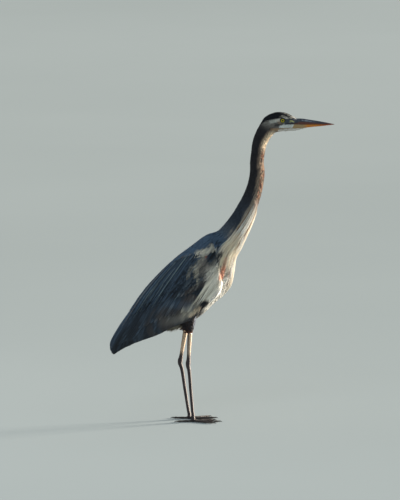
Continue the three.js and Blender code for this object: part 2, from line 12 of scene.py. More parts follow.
import bpy
import numpy as np
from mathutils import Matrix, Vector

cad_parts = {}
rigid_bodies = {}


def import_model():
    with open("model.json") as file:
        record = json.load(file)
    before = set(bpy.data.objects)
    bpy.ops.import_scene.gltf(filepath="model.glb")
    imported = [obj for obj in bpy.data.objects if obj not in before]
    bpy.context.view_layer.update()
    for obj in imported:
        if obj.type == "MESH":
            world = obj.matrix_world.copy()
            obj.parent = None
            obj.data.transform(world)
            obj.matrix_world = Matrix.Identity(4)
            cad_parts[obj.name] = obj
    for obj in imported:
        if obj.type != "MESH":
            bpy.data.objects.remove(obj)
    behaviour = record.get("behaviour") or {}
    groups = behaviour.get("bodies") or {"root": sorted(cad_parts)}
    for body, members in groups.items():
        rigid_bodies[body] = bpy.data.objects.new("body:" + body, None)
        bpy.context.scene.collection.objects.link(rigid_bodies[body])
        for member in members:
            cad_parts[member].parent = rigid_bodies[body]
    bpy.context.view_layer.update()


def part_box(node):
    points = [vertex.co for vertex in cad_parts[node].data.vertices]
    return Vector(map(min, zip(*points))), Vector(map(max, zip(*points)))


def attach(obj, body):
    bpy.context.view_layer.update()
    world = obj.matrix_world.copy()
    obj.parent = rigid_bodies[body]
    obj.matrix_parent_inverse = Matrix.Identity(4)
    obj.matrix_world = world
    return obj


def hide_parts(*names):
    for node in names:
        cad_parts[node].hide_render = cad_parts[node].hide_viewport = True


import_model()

BODY = "root"

# %% [markdown]
# The bird was measured in millimetres from a point of its own, with its bill towards +X and its
# left side towards +Y. The centre of the right eye is known in both systems, so it tells how far
# the bird's own numbers are shifted in the frame.

# %% From the bird's millimetres to the frame's metres
MM = 0.001
EYE = np.array([316.0, 12.4, 1062.5])
low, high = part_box("eye_right")
SHIFT = np.array(low + high) / 2 / MM - EYE * [1, -1, 1]


def framed(points):
    return (np.asarray(points, float) + SHIFT) * MM


print("shift in mm:", SHIFT.round(2))

# %% [markdown]
# ## Camera
# A long lens from far away keeps the bird's proportions. The camera looks along +Y and a little
# down. The picture is taken to be 400 wide and 500 high, and shows 1.75 m of height.

# %% Camera
VIEW_HEIGHT = 1.75
SENSOR = 36.0
DISTANCE = 20.0
LOOK_DOWN = math.radians(8)
AIM = (28, 0, 604.4)  # what the middle of the picture shows, in the bird's millimetres
target = framed(AIM)

camera_data = bpy.data.cameras.new("camera")
camera_data.sensor_fit = "VERTICAL"
camera_data.sensor_height = SENSOR
camera_data.lens = SENSOR * DISTANCE / VIEW_HEIGHT
camera = bpy.data.objects.new("camera", camera_data)
bpy.context.scene.collection.objects.link(camera)
camera.location = target + DISTANCE * np.array([0, -math.cos(LOOK_DOWN), math.sin(LOOK_DOWN)])
camera.rotation_euler = (math.pi / 2 - LOOK_DOWN, 0, 0)
bpy.context.scene.camera = camera
print("lens:", round(camera_data.lens), "mm")

# %% [markdown]
# ## Shader sums
# A material is a net of nodes. Written as Python sums it reads like the recipe that it is, so a
# small class wraps a socket: adding or multiplying two wraps adds the Math node for it, and one
# method adds any other node from its type, its settings and the values of its sockets.


# %% A socket that can be added and multiplied
class Wire:
    def __init__(self, tree, socket=None):
        self.tree = tree
        self.socket = socket

    def node(self, kind, settings=None, inputs=None, output=0):
        made = self.tree.nodes.new(kind)
        for name, value in (settings or {}).items():
            setattr(made, name, value)
        for name, value in (inputs or {}).items():
            if isinstance(value, Wire):
                self.tree.links.new(value.socket, made.inputs[name])
            else:
                made.inputs[name].default_value = value
        return Wire(self.tree, made.outputs[output])

    def maths(self, operation, *values):
        return self.node("ShaderNodeMath", {"operation": operation}, dict(enumerate(values)))

    def alone(self, operation):
        """A Math node that works on this wire alone, such as SINE or ABSOLUTE."""
        return self.maths(operation, self)

    def __add__(self, other):
        return self.maths("ADD", self, other)

    __radd__ = __add__

    def __sub__(self, other):
        return self.maths("SUBTRACT", self, other)

    def __rsub__(self, other):
        return self.maths("SUBTRACT", other, self)

    def __mul__(self, other):
        return self.maths("MULTIPLY", self, other)

    __rmul__ = __mul__

    def smooth(self, low, high):
        """0 below the low value, 1 above the high one, and a soft step between them."""
        inputs = {"Value": self, "From Min": low, "From Max": high}
        return self.node("ShaderNodeMapRange", {"interpolation_type": "SMOOTHSTEP"}, inputs)

    def blend(self, first, second, how="MIX"):
        """From the first colour to the second, with this wire as the share."""
        settings = {"data_type": "RGBA", "blend_type": how}
        return self.node("ShaderNodeMix", settings, {0: self, 6: first, 7: second}, output=2)

    def feed(self, shader, name):
        self.tree.links.new(self.socket, shader.inputs[name])


print("operators of a wire:", [name for name in vars(Wire) if name.strip("_") in ("add", "sub", "mul")])

# %% [markdown]
# A colour is easiest to judge as the three numbers of a colour picker, but light adds up on another
# scale, so each is turned into light first. All the finishes share three steps: the colour that
# each point of a mesh carries, a fine random grain, and a relief made from a height.

# %% Colours and finishes
def linear(*values):
    """A colour given as the numbers 0 to 255 of a colour picker, as light."""
    share = np.array(values) / 255
    return np.where(share < 0.04045, share / 12.92, ((share + 0.055) / 1.055) ** 2.4)


def rgba(*values):
    return (*linear(*values), 1.0)


def finish(name, **constants):
    """A new material: its wire, its shader and the material itself."""
    made = bpy.data.materials.new(name)
    made.use_nodes = True
    shader = made.node_tree.nodes["Principled BSDF"]
    for socket, value in constants.items():
        shader.inputs[socket.replace("_", " ")].default_value = value
    return Wire(made.node_tree), shader, made


def markings(wire):
    """The colour that each point of a mesh carries."""
    return wire.node("ShaderNodeAttribute", {"attribute_name": "Markings"})


def speckle(wire, scale, detail, low=0.3, **inputs):
    """Soft random grain from 0 to 1; a higher scale makes it finer."""
    grain = wire.node("ShaderNodeTexNoise", inputs={"Scale": scale, "Detail": detail, **inputs})
    return grain.smooth(low, 1 - low)


def emboss(height, shader, strength, depth):
    """A fine relief of a height between 0 and 1, with its depth in metres."""
    inputs = {"Strength": strength, "Distance": depth, "Height": height}
    height.node("ShaderNodeBump", inputs=inputs).feed(shader, "Normal")


print("mid grey as light:", float(linear(128).round(3)[0]))

# %% [markdown]
# ## Floor and light
# The floor is a plain pale sheet, wide enough to fill the picture from every side, so no horizon
# shows. A soft low sun stands in front of the bird's breast, a little behind it, and lights the
# front edge of neck, breast and legs. The side that faces the viewer lies in the light of the
# pale room and of one weak lamp.

# %% Floor
FLOOR_RADIUS = 26.0
FLOOR_SIDES = 96
floor_mesh = bpy.data.meshes.new("floor")
turns = np.linspace(0, 2 * np.pi, FLOOR_SIDES, endpoint=False)
rim = [(FLOOR_RADIUS * math.cos(turn), FLOOR_RADIUS * math.sin(turn), 0) for turn in turns]
floor_mesh.from_pydata(rim, [], [tuple(range(FLOOR_SIDES))])
floor = bpy.data.objects.new("floor", floor_mesh)
bpy.context.scene.collection.objects.link(floor)
wire, shader, paper = finish("pale_paper", Roughness=1.0, Specular_IOR_Level=0.0)
speckle(wire, 9.0, 4.0).blend(rgba(150, 158, 160), rgba(156, 164, 166)).feed(shader, "Base Color")
floor_mesh.materials.append(paper)
print("floor radius:", FLOOR_RADIUS, "m")

# %% Lamps
from mathutils import Vector

BIRD_MIDDLE = Vector((0, 0, 0.6))


def lamp(name, kind, place, power, colour, **settings):
    """A lamp at a place, turned towards the middle of the bird."""
    data = bpy.data.lights.new(name, kind)
    data.energy = power
    data.color = colour
    for key, value in settings.items():
        setattr(data, key, value)
    made = bpy.data.objects.new(name, data)
    bpy.context.scene.collection.objects.link(made)
    made.location = place
    made.rotation_euler = (made.location - BIRD_MIDDLE).to_track_quat("Z", "Y").to_euler()


lamp("low_sun", "SUN", (3.3, 1.4, 1.3), 15.5, (1.0, 0.92, 0.8), angle=math.radians(14))
lamp("fill_lamp", "AREA", (-2.5, -6.0, 4.5), 90, (0.8, 0.9, 1.0), shape="DISK", size=4.0)
bpy.data.objects["fill_lamp"].visible_glossy = False  # no pale mirror image in the pupil
world = bpy.data.worlds.new("room")
world.use_nodes = True
room_light = world.node_tree.nodes["Background"].inputs
room_light["Color"].default_value = rgba(218, 230, 236)
room_light["Strength"].default_value = 0.55
bpy.context.scene.world = world
bpy.context.scene.view_settings.view_transform = "Standard"

# %% [markdown]
# ## The body as two surfaces
# Feathers need a surface to lie on. The trunk, neck and head are one: each station is a cut across
# the body, with a point on the back, a point on the belly and half the width. The folded wings and
# the mantle lie on a second one, the cloak. A smooth curve runs through the stations, so any place
# on the bird is a station and an angle round from the back.


# %% A soft step and a mix
def smooth(value, low, high):
    """0 below the low value, 1 above the high one, and a soft step between them."""
    share = np.clip((value - low) / (high - low), 0, 1)
    return share * share * (3 - 2 * share)


def mix(first, second, share):
    return first + (second - first) * share


print("a soft step a quarter of the way:", round(float(smooth(0.25, 0, 1)), 3))


# %% A smooth curve through points
def curve_through(points):
    """A curve through points; a parameter of 2.5 lies half way between points 2 and 3."""
    points = np.array(points, float)
    padded = np.vstack([2 * points[0] - points[1], points, 2 * points[-1] - points[-2]])
    gaps = np.sum(np.diff(padded, axis=0) ** 2, axis=1) ** 0.25

    def at(station):
        station = np.clip(station, 0, len(points) - 1)
        i = np.minimum(station.astype(int), len(points) - 2)
        w = (station - i)[..., None]
        p0, p1, p2, p3 = (padded[i + k] for k in range(4))
        d0, d1, d2 = (gaps[i + k][..., None] for k in range(3))
        start = ((p1 - p0) / d0 - (p2 - p0) / (d0 + d1) + (p2 - p1) / d1) * d1
        end = ((p2 - p1) / d1 - (p3 - p1) / (d1 + d2) + (p3 - p2) / d2) * d1
        bend = -3 * p1 + 3 * p2 - 2 * start - end
        return p1 + w * (start + w * (bend + w * (2 * p1 - 2 * p2 + start + end)))

    return at


corner = curve_through([(0, 0), (1, 0), (1, 1)])
print("half way to a corner the curve swings out to", corner(np.array([0.5])).round(2)[0])


# %% A surface through stations
def surface(stations, side_shift=0.0):
    """A place on the surface from a station, an angle from the back and a lift off it."""
    rows = np.array(stations, float)
    back = curve_through(rows[:, [0, 4, 1]])
    belly = curve_through(np.stack([rows[:, 2], 0 * rows[:, 2], rows[:, 3]], axis=1))

    def place(station, angle, lift=0.0):
        station, angle, lift = np.broadcast_arrays(*np.atleast_1d(station, angle, lift))
        top = back(station)
        bottom = belly(station)
        half = top[..., 1].copy()
        top[..., 1] = 0
        arm = (top - bottom) / 2
        depth = np.linalg.norm(arm, axis=-1)
        reach = (depth + lift) * np.cos(angle)
        point = (top + bottom) / 2 + arm * (reach / depth)[..., None]
        point[..., 1] += (half + lift) * np.sin(angle) + side_shift
        return point

    return place


tube = surface([(0, 1, 0, -1, 1), (5, 1, 5, -1, 1)])
print("the right side of a plain tube, 2 above it:", tube(0.5, -np.pi / 2, 2.0).round(2)[0])

# %% The trunk, from the rump to the root of the bill: back x z, belly x z, half width
TRUNK = [
    (-165, 376, -142, 339, 15), (-163, 419, -85, 321, 36), (-145, 469, -22, 344, 50),
    (-112, 512, 28, 371, 56), (-62, 559, 78, 417, 58), (-34, 581, 106, 441, 58),
    (6, 611, 136, 480, 55), (38, 638, 146, 529, 49), (73, 661, 153, 580, 43),
    (98, 678, 168, 608, 39), (126, 710, 190, 658, 34), (147, 740, 211, 707, 29.5),
    (168, 776, 229, 760, 25), (184, 808, 240, 796, 22), (197, 846, 249, 838, 19.5),
    (203, 882, 253, 880, 18), (203, 914, 250, 914, 17), (207, 949, 253, 944, 17),
    (211, 982, 259, 973, 17.5), (219, 1009, 270, 995, 18.5), (236, 1044, 290, 1018, 20),
    (257, 1073, 306, 1022, 21), (290, 1088, 322, 1024, 21.5), (325, 1088, 341, 1026, 19),
    (350, 1077, 358, 1027, 15), (366, 1068, 373, 1030, 11),
]
NECK_TOP = 19.4  # the station where the head begins
trunk = surface(TRUNK)
print("trunk stations:", len(TRUNK))

# %% The cloak, from the bend of the wing to its tip: ridge x z, lower edge x z, half width
WING = [
    (82, 671, 112, 525, 50), (49, 654, 92, 460, 58), (5, 621, 49, 421, 65),
    (-58, 573, 3, 375, 68), (-122, 512, -60, 348, 66), (-172, 455, -125, 314, 57),
    (-217, 389, -175, 294, 45), (-256, 331, -218, 275, 35), (-284, 280, -248, 253, 24),
    (-290, 250, -273, 233, 14),
]
EDGE_ANGLE = math.radians(120)
SPAN = 2 / (1 - math.cos(EDGE_ANGLE))
cloak = surface(
    [(x, z, mix(x, ex, SPAN), mix(z, ez, SPAN), half) for x, z, ex, ez, half in WING]
)
print("cloak stations:", len(WING))


# %% Thighs: short limbs with stations from the knee up, as shift, height and two radii
SIDES = {"right": -1, "left": 1}
LEG_SPACING = 64
LEGS = {
    "right": {"shin": -8, "hock": -13, "ankle": 4},
    "left": {"shin": -23, "hock": -41, "ankle": -10},
}
SHIN_TOP = 316
THIGH = [(0, 0, 8.5, 7.5), (0, 16, 14, 12), (-4, 38, 24, 18), (-12, 75, 34, 22), (-16, 110, 34, 22)]


def thigh_surface(name):
    x = LEGS[name]["shin"]
    rows = [(x + dx - r, SHIN_TOP + h, x + dx + r, SHIN_TOP + h, w) for dx, h, r, w in THIGH]
    return surface(rows, SIDES[name] * LEG_SPACING / 2)


thighs = {name: thigh_surface(name) for name in SIDES}
print("thighs:", list(thighs))

# %% [markdown]
# ## Meshes from arrays
# Everything on the bird is rows of rings. Thousands of feathers could be copies of one object, but
# then each would be as long and as straight as the next. So one function joins many tubes of rings
# into a single mesh in one go: each tube is closed by a cap at both ends, and each point carries
# its colour. A feather tube is very flat, a toe is round, but the faces are counted the same way.


# %% The faces of tubes of rings
def tube_faces(count, rows, ring, joined=False):
    """Quads and caps of count tubes, each with rows rings of ring points. A joined tube has no
    caps, because its last ring meets its first one."""
    base = (np.arange(count) * rows * ring)[:, None, None]
    i = (np.arange(rows if joined else rows - 1) * ring)[None, :, None]
    after = (i + ring) % (rows * ring)
    j = np.arange(ring)[None, None, :]
    k = (j + 1) % ring
    quads = np.stack([base + i + j, base + i + k, base + after + k, base + after + j], axis=-1)
    if joined:
        return quads.reshape(-1, 4), np.zeros((0, ring), int)
    start = np.arange(count)[:, None] * rows * ring + np.arange(ring)[::-1][None, :]
    end = np.arange(count)[:, None] * rows * ring + (rows - 1) * ring + np.arange(ring)[None, :]
    return quads.reshape(-1, 4), np.vstack([start, end])


print("a tube of 3 rings of 8 points has", len(tube_faces(1, 3, 8)[0]), "quads and 2 caps")


# %% One mesh from many tubes
def tube_mesh(name, parts):
    """parts: dicts with points (tubes, rings, ring points, 3) in mm, colour, and maps by name."""
    loops, sizes, places, colours, maps = [], [], [], [], {}
    offset = 0
    for part in parts:
        points = part["points"]
        count, rows, ring, _ = points.shape
        quads, caps = tube_faces(count, rows, ring, part.get("joined", False))
        loops += [(quads + offset).ravel(), (caps + offset).ravel()]
        sizes += [np.full(len(quads), 4), np.full(len(caps), ring)]
        places.append(points.reshape(-1, 3))
        colours.append(np.broadcast_to(part["colour"], points.shape).reshape(-1, 3))
        for key, grid in part.get("maps", {}).items():
            maps.setdefault(key, []).append(np.broadcast_to(grid, (*points.shape[:3], 2)).reshape(-1, 2))
        offset += count * rows * ring
    loops = np.concatenate(loops).astype(np.int32)
    sizes = np.concatenate(sizes)
    mesh = bpy.data.meshes.new(name)
    mesh.vertices.add(offset)
    mesh.vertices.foreach_set("co", framed(np.vstack(places)).ravel())
    mesh.loops.add(len(loops))
    mesh.loops.foreach_set("vertex_index", loops)
    mesh.polygons.add(len(sizes))
    starts = np.concatenate([[0], np.cumsum(sizes)[:-1]])
    mesh.polygons.foreach_set("loop_start", starts.astype(np.int32))
    for key, grids in maps.items():
        layer = mesh.uv_layers.new(name=key)
        layer.uv.foreach_set("vector", np.vstack(grids)[loops].astype(np.float32).ravel())
    mesh.update(calc_edges=True)
    paint_points(mesh, np.vstack(colours))
    mesh.shade_smooth()
    return mesh


def paint_points(mesh, colours):
    """Keeps a colour for each point in the mesh's own layer."""
    if "Markings" in mesh.color_attributes:
        mesh.color_attributes.remove(mesh.color_attributes["Markings"])
    layer = mesh.color_attributes.new("Markings", "FLOAT_COLOR", "POINT")
    full = np.hstack([np.clip(colours, 0, 1), np.ones((len(colours), 1))])
    layer.data.foreach_set("color", full.astype(np.float32).ravel())


def piece(name, mesh, material, nodes=()):
    """A piece of the bird: it rides on its body and stands for the nodes that it covers."""
    made = bpy.data.objects.new(name, mesh)
    bpy.context.scene.collection.objects.link(made)
    mesh.materials.clear()
    mesh.materials.append(material)
    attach(made, BODY)
    if nodes:
        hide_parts(*nodes)
    triangles = sum(len(p.vertices) - 2 for p in mesh.polygons)
    print(f"{name}: {triangles} triangles")
    return made


print("pieces ride on:", BODY)

# %% [markdown]
# ## Markings
# Skin and feathers take their colour from the same rules, so that no pale skin shines through a
# dark wing. First a broad colour for each region, from the slate back to the white front. Then a
# list of soft strokes, each from one point of the side view to another with a width and a colour,
# as a painter would lay the marks of the head and the shoulder.

# %% Colours of the plumage
SLATE = linear(60, 76, 92)
BLUE_SLATE = linear(88, 112, 138)
DARK_SLATE = linear(30, 40, 51)
TEAL_GREY = linear(128, 144, 146)
BROWN_GREY = linear(96, 91, 87)
TAUPE = linear(158, 138, 120)
NECK_DARK = linear(44, 42, 46)
CREAM = linear(240, 216, 184)
WHITE = linear(246, 242, 232)
PALE_GREY = linear(204, 199, 184)
BUFF = linear(190, 154, 116)
RUST = linear(190, 104, 74)
MAROON = linear(108, 62, 54)
BLACK = linear(12, 17, 26)
THIGH_BROWN = linear(56, 44, 40)
BEIGE = linear(196, 190, 172)
# painted light: a warm white that brightens parts of the breast, as sun on them would
WARM_PAINTED_LIGHT = linear(255, 234, 200)

print("darkest and palest plumage:", BLACK.round(3), WHITE.round(2))

# %% Blotches and streaks
GRAIN_SIZE = 64
GRAIN = np.random.default_rng(11).random((GRAIN_SIZE, GRAIN_SIZE))
STREAK_START = 900  # where the pattern of the streaks begins, in mm


def mottle(x, y):
    """Soft blotches from 0 to 1, about one unit across."""
    i, j = np.floor(x).astype(int), np.floor(y).astype(int)
    u, v = smooth(x - i, 0, 1), smooth(y - j, 0, 1)

    def corner(right, up):
        return GRAIN[(i + right) % GRAIN_SIZE, (j + up) % GRAIN_SIZE]

    return mix(mix(corner(0, 0), corner(1, 0), u), mix(corner(0, 1), corner(1, 1), u), v)


def streaks(point, slope, long, fine):
    """Uneven stripes from 0 to 1 at a slope in degrees in the side view, so long and so fine."""
    turn = math.radians(slope)
    x, z = point[..., 0] + STREAK_START, point[..., 2]
    return mottle((x * math.cos(turn) + z * math.sin(turn)) / long,
                  (z * math.cos(turn) - x * math.sin(turn)) / fine + 0.3 * point[..., 1])


print("blotches between", GRAIN.min().round(3), "and", GRAIN.max().round(3))


# %% Soft strokes
def lay_over(base, colour, share):
    """A colour laid over another one by a share for each point."""
    return base + (colour - base) * np.clip(share, 0, 1)[..., None]


def stroke(base, point, start, end, width, colour, strength=1.0, soft=0.5):
    """A soft stroke in the side view, from start to end, each as x and z."""
    start, end = np.array(start, float), np.array(end, float)
    here = point[..., [0, 2]] - start
    way = end - start
    along = np.clip(here @ way / max(way @ way, 1e-9), 0, 1)
    away = np.linalg.norm(here - along[..., None] * way, axis=-1)
    return lay_over(base, colour, strength * (1 - smooth(away, (1 - soft) * width, (1 + soft) * width)))


def paint(base, point, marks, soft=0.5):
    for start, end, width, colour, strength in marks:
        base = stroke(base, point, start, end, width, colour, strength, soft)
    return base


middle = np.array([[5.0, 0, 0]])
print("a grey stroke over white gives", paint(WHITE, middle, [((0, 0), (10, 0), 2, SLATE, 1)]).round(2))

# %% Marks of the head: start and end in millimetres of the side view, width, colour, strength
HEAD_GREY = linear(128, 124, 118)
TAN = linear(162, 136, 96)
HEAD_MARKS = [
    ((252, 1049), (280, 1056), 6.5, linear(170, 168, 160), 0.45),  # pale band under the black
    ((274, 1058), (306, 1064.5), 5.2, linear(218, 220, 210), 0.85),
    ((292, 1062), (306, 1066), 3.4, WHITE, 0.6),
    ((300, 1061), (306, 1052), 4.5, BUFF, 0.3),
    ((292, 1046), (302, 1047), 4.5, NECK_DARK, 0.7),  # smudge on the cheek
    ((309, 1040), (352, 1042), 5.2, linear(244, 250, 244), 1),  # white of the lower cheek
    ((322, 1043), (352, 1043), 7.4, linear(244, 250, 244), 0.95),
    ((318, 1072), (332, 1071), 2.4, WHITE, 0.85),  # brow
    ((353, 1075.5), (363, 1071.5), 3.6, WHITE, 1),  # tuft over the bill
    ((276, 1031), (298, 1030), 4.5, BUFF, 0.8),  # corner of the jaw
    ((300, 1033.5), (374, 1035), 1.8, BUFF, 0.75),
    ((304, 1027), (394, 1029), 3.6, WHITE, 1),  # chin
]
CROWN_EDGE = [  # the lower edge of the black crown
    (236, 1046), (257, 1062), (284, 1068), (307, 1072.5), (322, 1075), (366, 1070),
]
BARE_SKIN = linear(60, 66, 72)
LORE_MARKS = [  # on the bare skin between the eye and the bill
    ((326, 1060), (368, 1059), 9, linear(56, 63, 73), 1),
    ((343, 1061), (350, 1060.5), 2.4, linear(158, 160, 102), 1),
    ((349, 1059.5), (355, 1057.5), 2.0, linear(170, 170, 118), 1),
    ((339, 1056.5), (345, 1055.5), 1.2, linear(128, 128, 92), 0.8),
    ((331, 1051.5), (356, 1051.5), 1.8, linear(40, 34, 34), 0.8),
    ((360, 1050.5), (376, 1053), 2.6, linear(84, 46, 36), 0.9),
    ((356, 1040), (374, 1040), 8.5, TAN, 1),
]
print("marks of the head:", len(HEAD_MARKS) + len(LORE_MARKS))

# %% Marks of the body
DARK_FRONT = ((92, 594), (102, 597), 6, DARK_SLATE, 0.9)
BEND_MARKS = [
    ((71, 590), (77, 592), 11.5, BLACK, 1),  # black patch at the bend of the wing
    DARK_FRONT,
    ((49, 590), (52, 588), 4, RUST, 0.6),
]
SHOULDER_MARKS = [
    ((77, 614), (22, 600), 10, linear(232, 226, 208), 1),  # pale bar over the shoulder
    ((22, 600), (-20, 583), 7, BEIGE, 0.45),
    ((42, 590), (16, 552), 9, BEIGE, 0.75),
    ((16, 552), (21, 505), 7, BEIGE, 0.6),
    ((2, 556), (-12, 520), 6, BEIGE, 0.3),
    ((90, 640), (95, 612), 5, DARK_SLATE, 0.8),
    ((40, 560), (66, 508), 20, linear(142, 136, 128), 0.7),
    ((76, 540), (68, 452), 22, linear(244, 238, 222), 0.9),  # pale fan below the shoulder
    ((63, 444), (12, 398), 10, BEIGE, 0.85),
    *BEND_MARKS,
]
FAN_SHADE = ((101, 536), (94, 482), 7, linear(144, 138, 128), 0.45)
RUST_MARKS_AND_PAINTED_LIGHT = [
    # painted light: warm white over the hollow between wing and neck, where the bend of the wing casts shade
    ((111, 582), (101, 554), 9, WARM_PAINTED_LIGHT, 0.9),
    ((118, 582), (110, 548), 6.5, linear(236, 170, 140), 0.4),
    ((110, 548), (101, 512), 8, linear(244, 164, 132), 0.8),
    ((132, 536), (120, 486), 4.0, MAROON, 0.5),
]
BELLY_EDGE = [
    ((120, 506), (102, 475), 8, WHITE, 1),
    ((100, 475), (68, 430), 9, WHITE, 1),
]
BELLY_MARKS = [
    *BELLY_EDGE,
    ((70, 430), (8, 350), 8, WHITE, 1),
    ((47, 424), (19, 402), 12.5, BLACK, 1),  # flank
    ((22, 388), (-22, 350), 17, linear(60, 57, 58), 0.85),
    ((22, 409), (-10, 382), 5, CREAM, 0.7),
]
# painted shade on the fan's edge, painted light in the hollow under the bend, and the real rust
BREAST_MARKS = [FAN_SHADE, *RUST_MARKS_AND_PAINTED_LIGHT]
BODY_MARKS = SHOULDER_MARKS + BREAST_MARKS + BELLY_MARKS
print("marks of the body:", len(BODY_MARKS))

# %% Colours of the neck
LIGHT_FROM = [  # station, and the degrees from the back where the pale front begins there
    (8, 72), (9.5, 75), (10.5, 82), (11.5, 93), (12.5, 93), (14, 89), (17, 90), (19, 94), (20.5, 112),
]


def neck_colour(station, degrees, point):
    """Dark behind and pale in front, with rust and black dashes down the front."""
    fine = streaks(point, 66, 36, 2.2)
    loose = 1 - smooth(station, 11.5, 14.5)
    edge = np.interp(station, *np.transpose(LIGHT_FROM)) + (12 + 22 * loose) * (fine - 0.5)
    behind = lay_over(NECK_DARK, SLATE, 0.6 * (1 - smooth(station, 10.5, 14)))
    behind = lay_over(behind, linear(108, 118, 128), 0.8 * (1 - smooth(station, 8.6, 10.6)))
    front = lay_over(TAUPE, PALE_GREY, 0.55 * loose)
    throat = smooth(station, 16.8, 18.0) * smooth(degrees, edge + 4, edge + 26)
    foot = (1 - smooth(station, 11.4, 12.2)) * smooth(degrees, 140, 165)
    front = lay_over(front, CREAM, np.maximum(throat, foot))
    rusty = smooth(station, 11.6, 12.4) * (1 - smooth(station, 16.8, 17.8))
    front = lay_over(front, linear(170, 142, 114), 0.85 * rusty * smooth(degrees, edge + 16, edge + 46))
    front = lay_over(front, NECK_DARK, (0.4 + 0.3 * loose) * smooth(fine, 0.5, 0.8) * (1 - throat))
    dashed = rusty * smooth(degrees, 112, 130)
    brown = smooth(mottle(station * 7 + 30, degrees / 7), 0.45, 0.65)
    black = smooth(mottle(station * 11 + 9, degrees / 5), 0.52, 0.68)
    front = lay_over(front, linear(158, 88, 60), 0.75 * dashed * brown)
    front = lay_over(front, linear(28, 22, 22), 0.9 * dashed * black)
    return lay_over(behind, front, smooth(degrees, edge - 10, edge + 12 + 10 * loose))


def colour_numbers(rule, station, degrees):
    """The colour picker's numbers that a rule of the trunk gives at one place, to look at."""
    at, turn = np.array([station]), np.array([degrees])
    light = rule(at, turn, trunk(at, np.radians(turn)))[0]
    return (255 * np.clip(light, 0, 1) ** (1 / 2.2)).round().astype(int)


print("nape and front of the neck:", [colour_numbers(neck_colour, 14.0, turn) for turn in (10.0, 150.0)])


# %% Colours of the trunk and the face
def body_colour(station, degrees, point):
    """Slate above, smoky grey with pale streaks on the sides and white only along the belly."""
    blotch = mottle(station * 7, degrees / 16)
    body = lay_over(SLATE, DARK_SLATE, 0.7 * smooth(blotch, 0.3, 0.8))
    body = lay_over(body, BLUE_SLATE, 0.7 * smooth(station, 6, 7.5))
    smoky = lay_over(BROWN_GREY, NECK_DARK, smooth(blotch, 0.3, 0.7))
    body = lay_over(body, smoky, smooth(degrees, 84, 100) * (1 - smooth(station, 5, 7)))
    body = lay_over(body, WHITE, smooth(degrees, 112, 130) * smooth(station, 2.2, 3.4))
    body = lay_over(body, BEIGE, 0.6 * smooth(degrees, 120, 150) * (1 - smooth(station, 2.2, 3.4)))
    pale = smooth(degrees, 76, 92) * smooth(station, 5.2, 6.8)
    body = lay_over(body, BEIGE, pale * mix(0.35, 1, smooth(streaks(point, 60, 40, 3.4), 0.2, 0.5)))
    body = lay_over(body, CREAM, 0.7 * pale * smooth(degrees, 120, 150))
    return paint(paint(body, point, SHOULDER_MARKS + BREAST_MARKS), point, BELLY_MARKS, 0.35)


def face_colour(station, degrees, point):
    """Grey cheeks, a black crown and a streaked forehead."""
    x, z = point[..., 0], point[..., 2]
    face = lay_over(HEAD_GREY, BROWN_GREY, smooth(mottle(x / 5, z / 4), 0.4, 0.9))
    above = z - np.interp(x, *np.transpose(CROWN_EDGE))
    face = lay_over(face, BLACK, smooth(above, -1, 1))
    flecks = smooth(mottle(x / 5, z / 1.6 + point[..., 1]), 0.5, 0.68)
    face = lay_over(face, PALE_GREY, flecks * smooth(x, 302, 314) * (above > -2) * (x < 372))
    return paint(face, point, HEAD_MARKS)


def trunk_colour(station, angle, point):
    """The plumage at a station and angle of the trunk."""
    degrees = np.degrees(np.abs(angle))
    colour = mix(body_colour(station, degrees, point), neck_colour(station, degrees, point),
                 smooth(station, 8.3, 9.8)[..., None])
    return mix(colour, face_colour(station, degrees, point), smooth(station, 19.6, 20.8)[..., None])


print("crown and cheek:", [colour_numbers(face_colour, 22.5, turn) for turn in (10.0, 110.0)])


# %% Colours of the wings and the thighs
def cloak_colour(station, angle, point):
    """Slate with dark and pale streaks that run back and down, and browner low in front."""
    degrees = np.degrees(np.abs(angle))
    lines, broad = streaks(point, 58, 60, 6), streaks(point, 50, 70, 24)
    base = lay_over(DARK_SLATE, SLATE, smooth(lines, 0.3, 0.8))
    # blue-grey along the top of the wing: the plumage's own colour, made bluer as a painted reflection of the
    # sky
    upper = (1 - smooth(degrees, 26, 56)) * (1 - 0.6 * smooth(station, 3, 7))
    base = lay_over(base, BLUE_SLATE, 0.85 * upper)
    low = smooth(degrees, 62, 84) * (1 - smooth(station, 4.5, 6.5))
    base = lay_over(base, linear(80, 72, 68), 0.6 * low * smooth(broad, 0.4, 0.7))
    base = lay_over(base, BEIGE, 0.2 * low * smooth(lines, 0.5, 0.85) * (1 - smooth(station, 3.2, 4.5)))
    base = stroke(base, point, (12, 410), (-34, 386), 17, BEIGE, mix(0.35, 0.95, smooth(lines, 0.2, 0.7)))
    base = stroke(base, point, (-84, 428), (-10, 414), 16, BLUE_SLATE, 0.2)
    base = stroke(base, point, (-102, 400), (-46, 386), 14, linear(64, 58, 56), 0.5, 0.8)
    fading = mix(0.4, 0.95, lines) * smooth(point[..., 0], -140, -60)
    base = stroke(base, point, (-42, 372), (-118, 360), 14, linear(130, 126, 118), fading, 0.7)
    base = lay_over(base, BLACK, 0.35 * smooth(station, 6.2, 8.4))
    # the marks break up along the feathers
    broken = mix(0.55, 1, smooth(streaks(point, 58, 40, 5), 0.2, 0.6))
    return mix(base, paint(base, point, BODY_MARKS), broken[..., None])


def fan_colour(station, angle, point):
    """The loose pale plumes below the bend of the wing."""
    x, z = point[..., 0], point[..., 2]
    lines = mix(0.5, 1, smooth(streaks(point, 58, 50, 4), 0.2, 0.6))
    base = lay_over(linear(146, 140, 126), linear(255, 248, 228), lines)
    base = lay_over(base, linear(110, 106, 102), 0.8 * smooth(z, 520, 570) * (x < 84))
    base = stroke(base, point, (84, 512), (64, 446), 14, linear(255, 250, 234), 0.75 * lines)
    return paint(paint(base, point, BEND_MARKS + BREAST_MARKS), point, BELLY_MARKS, 0.35)


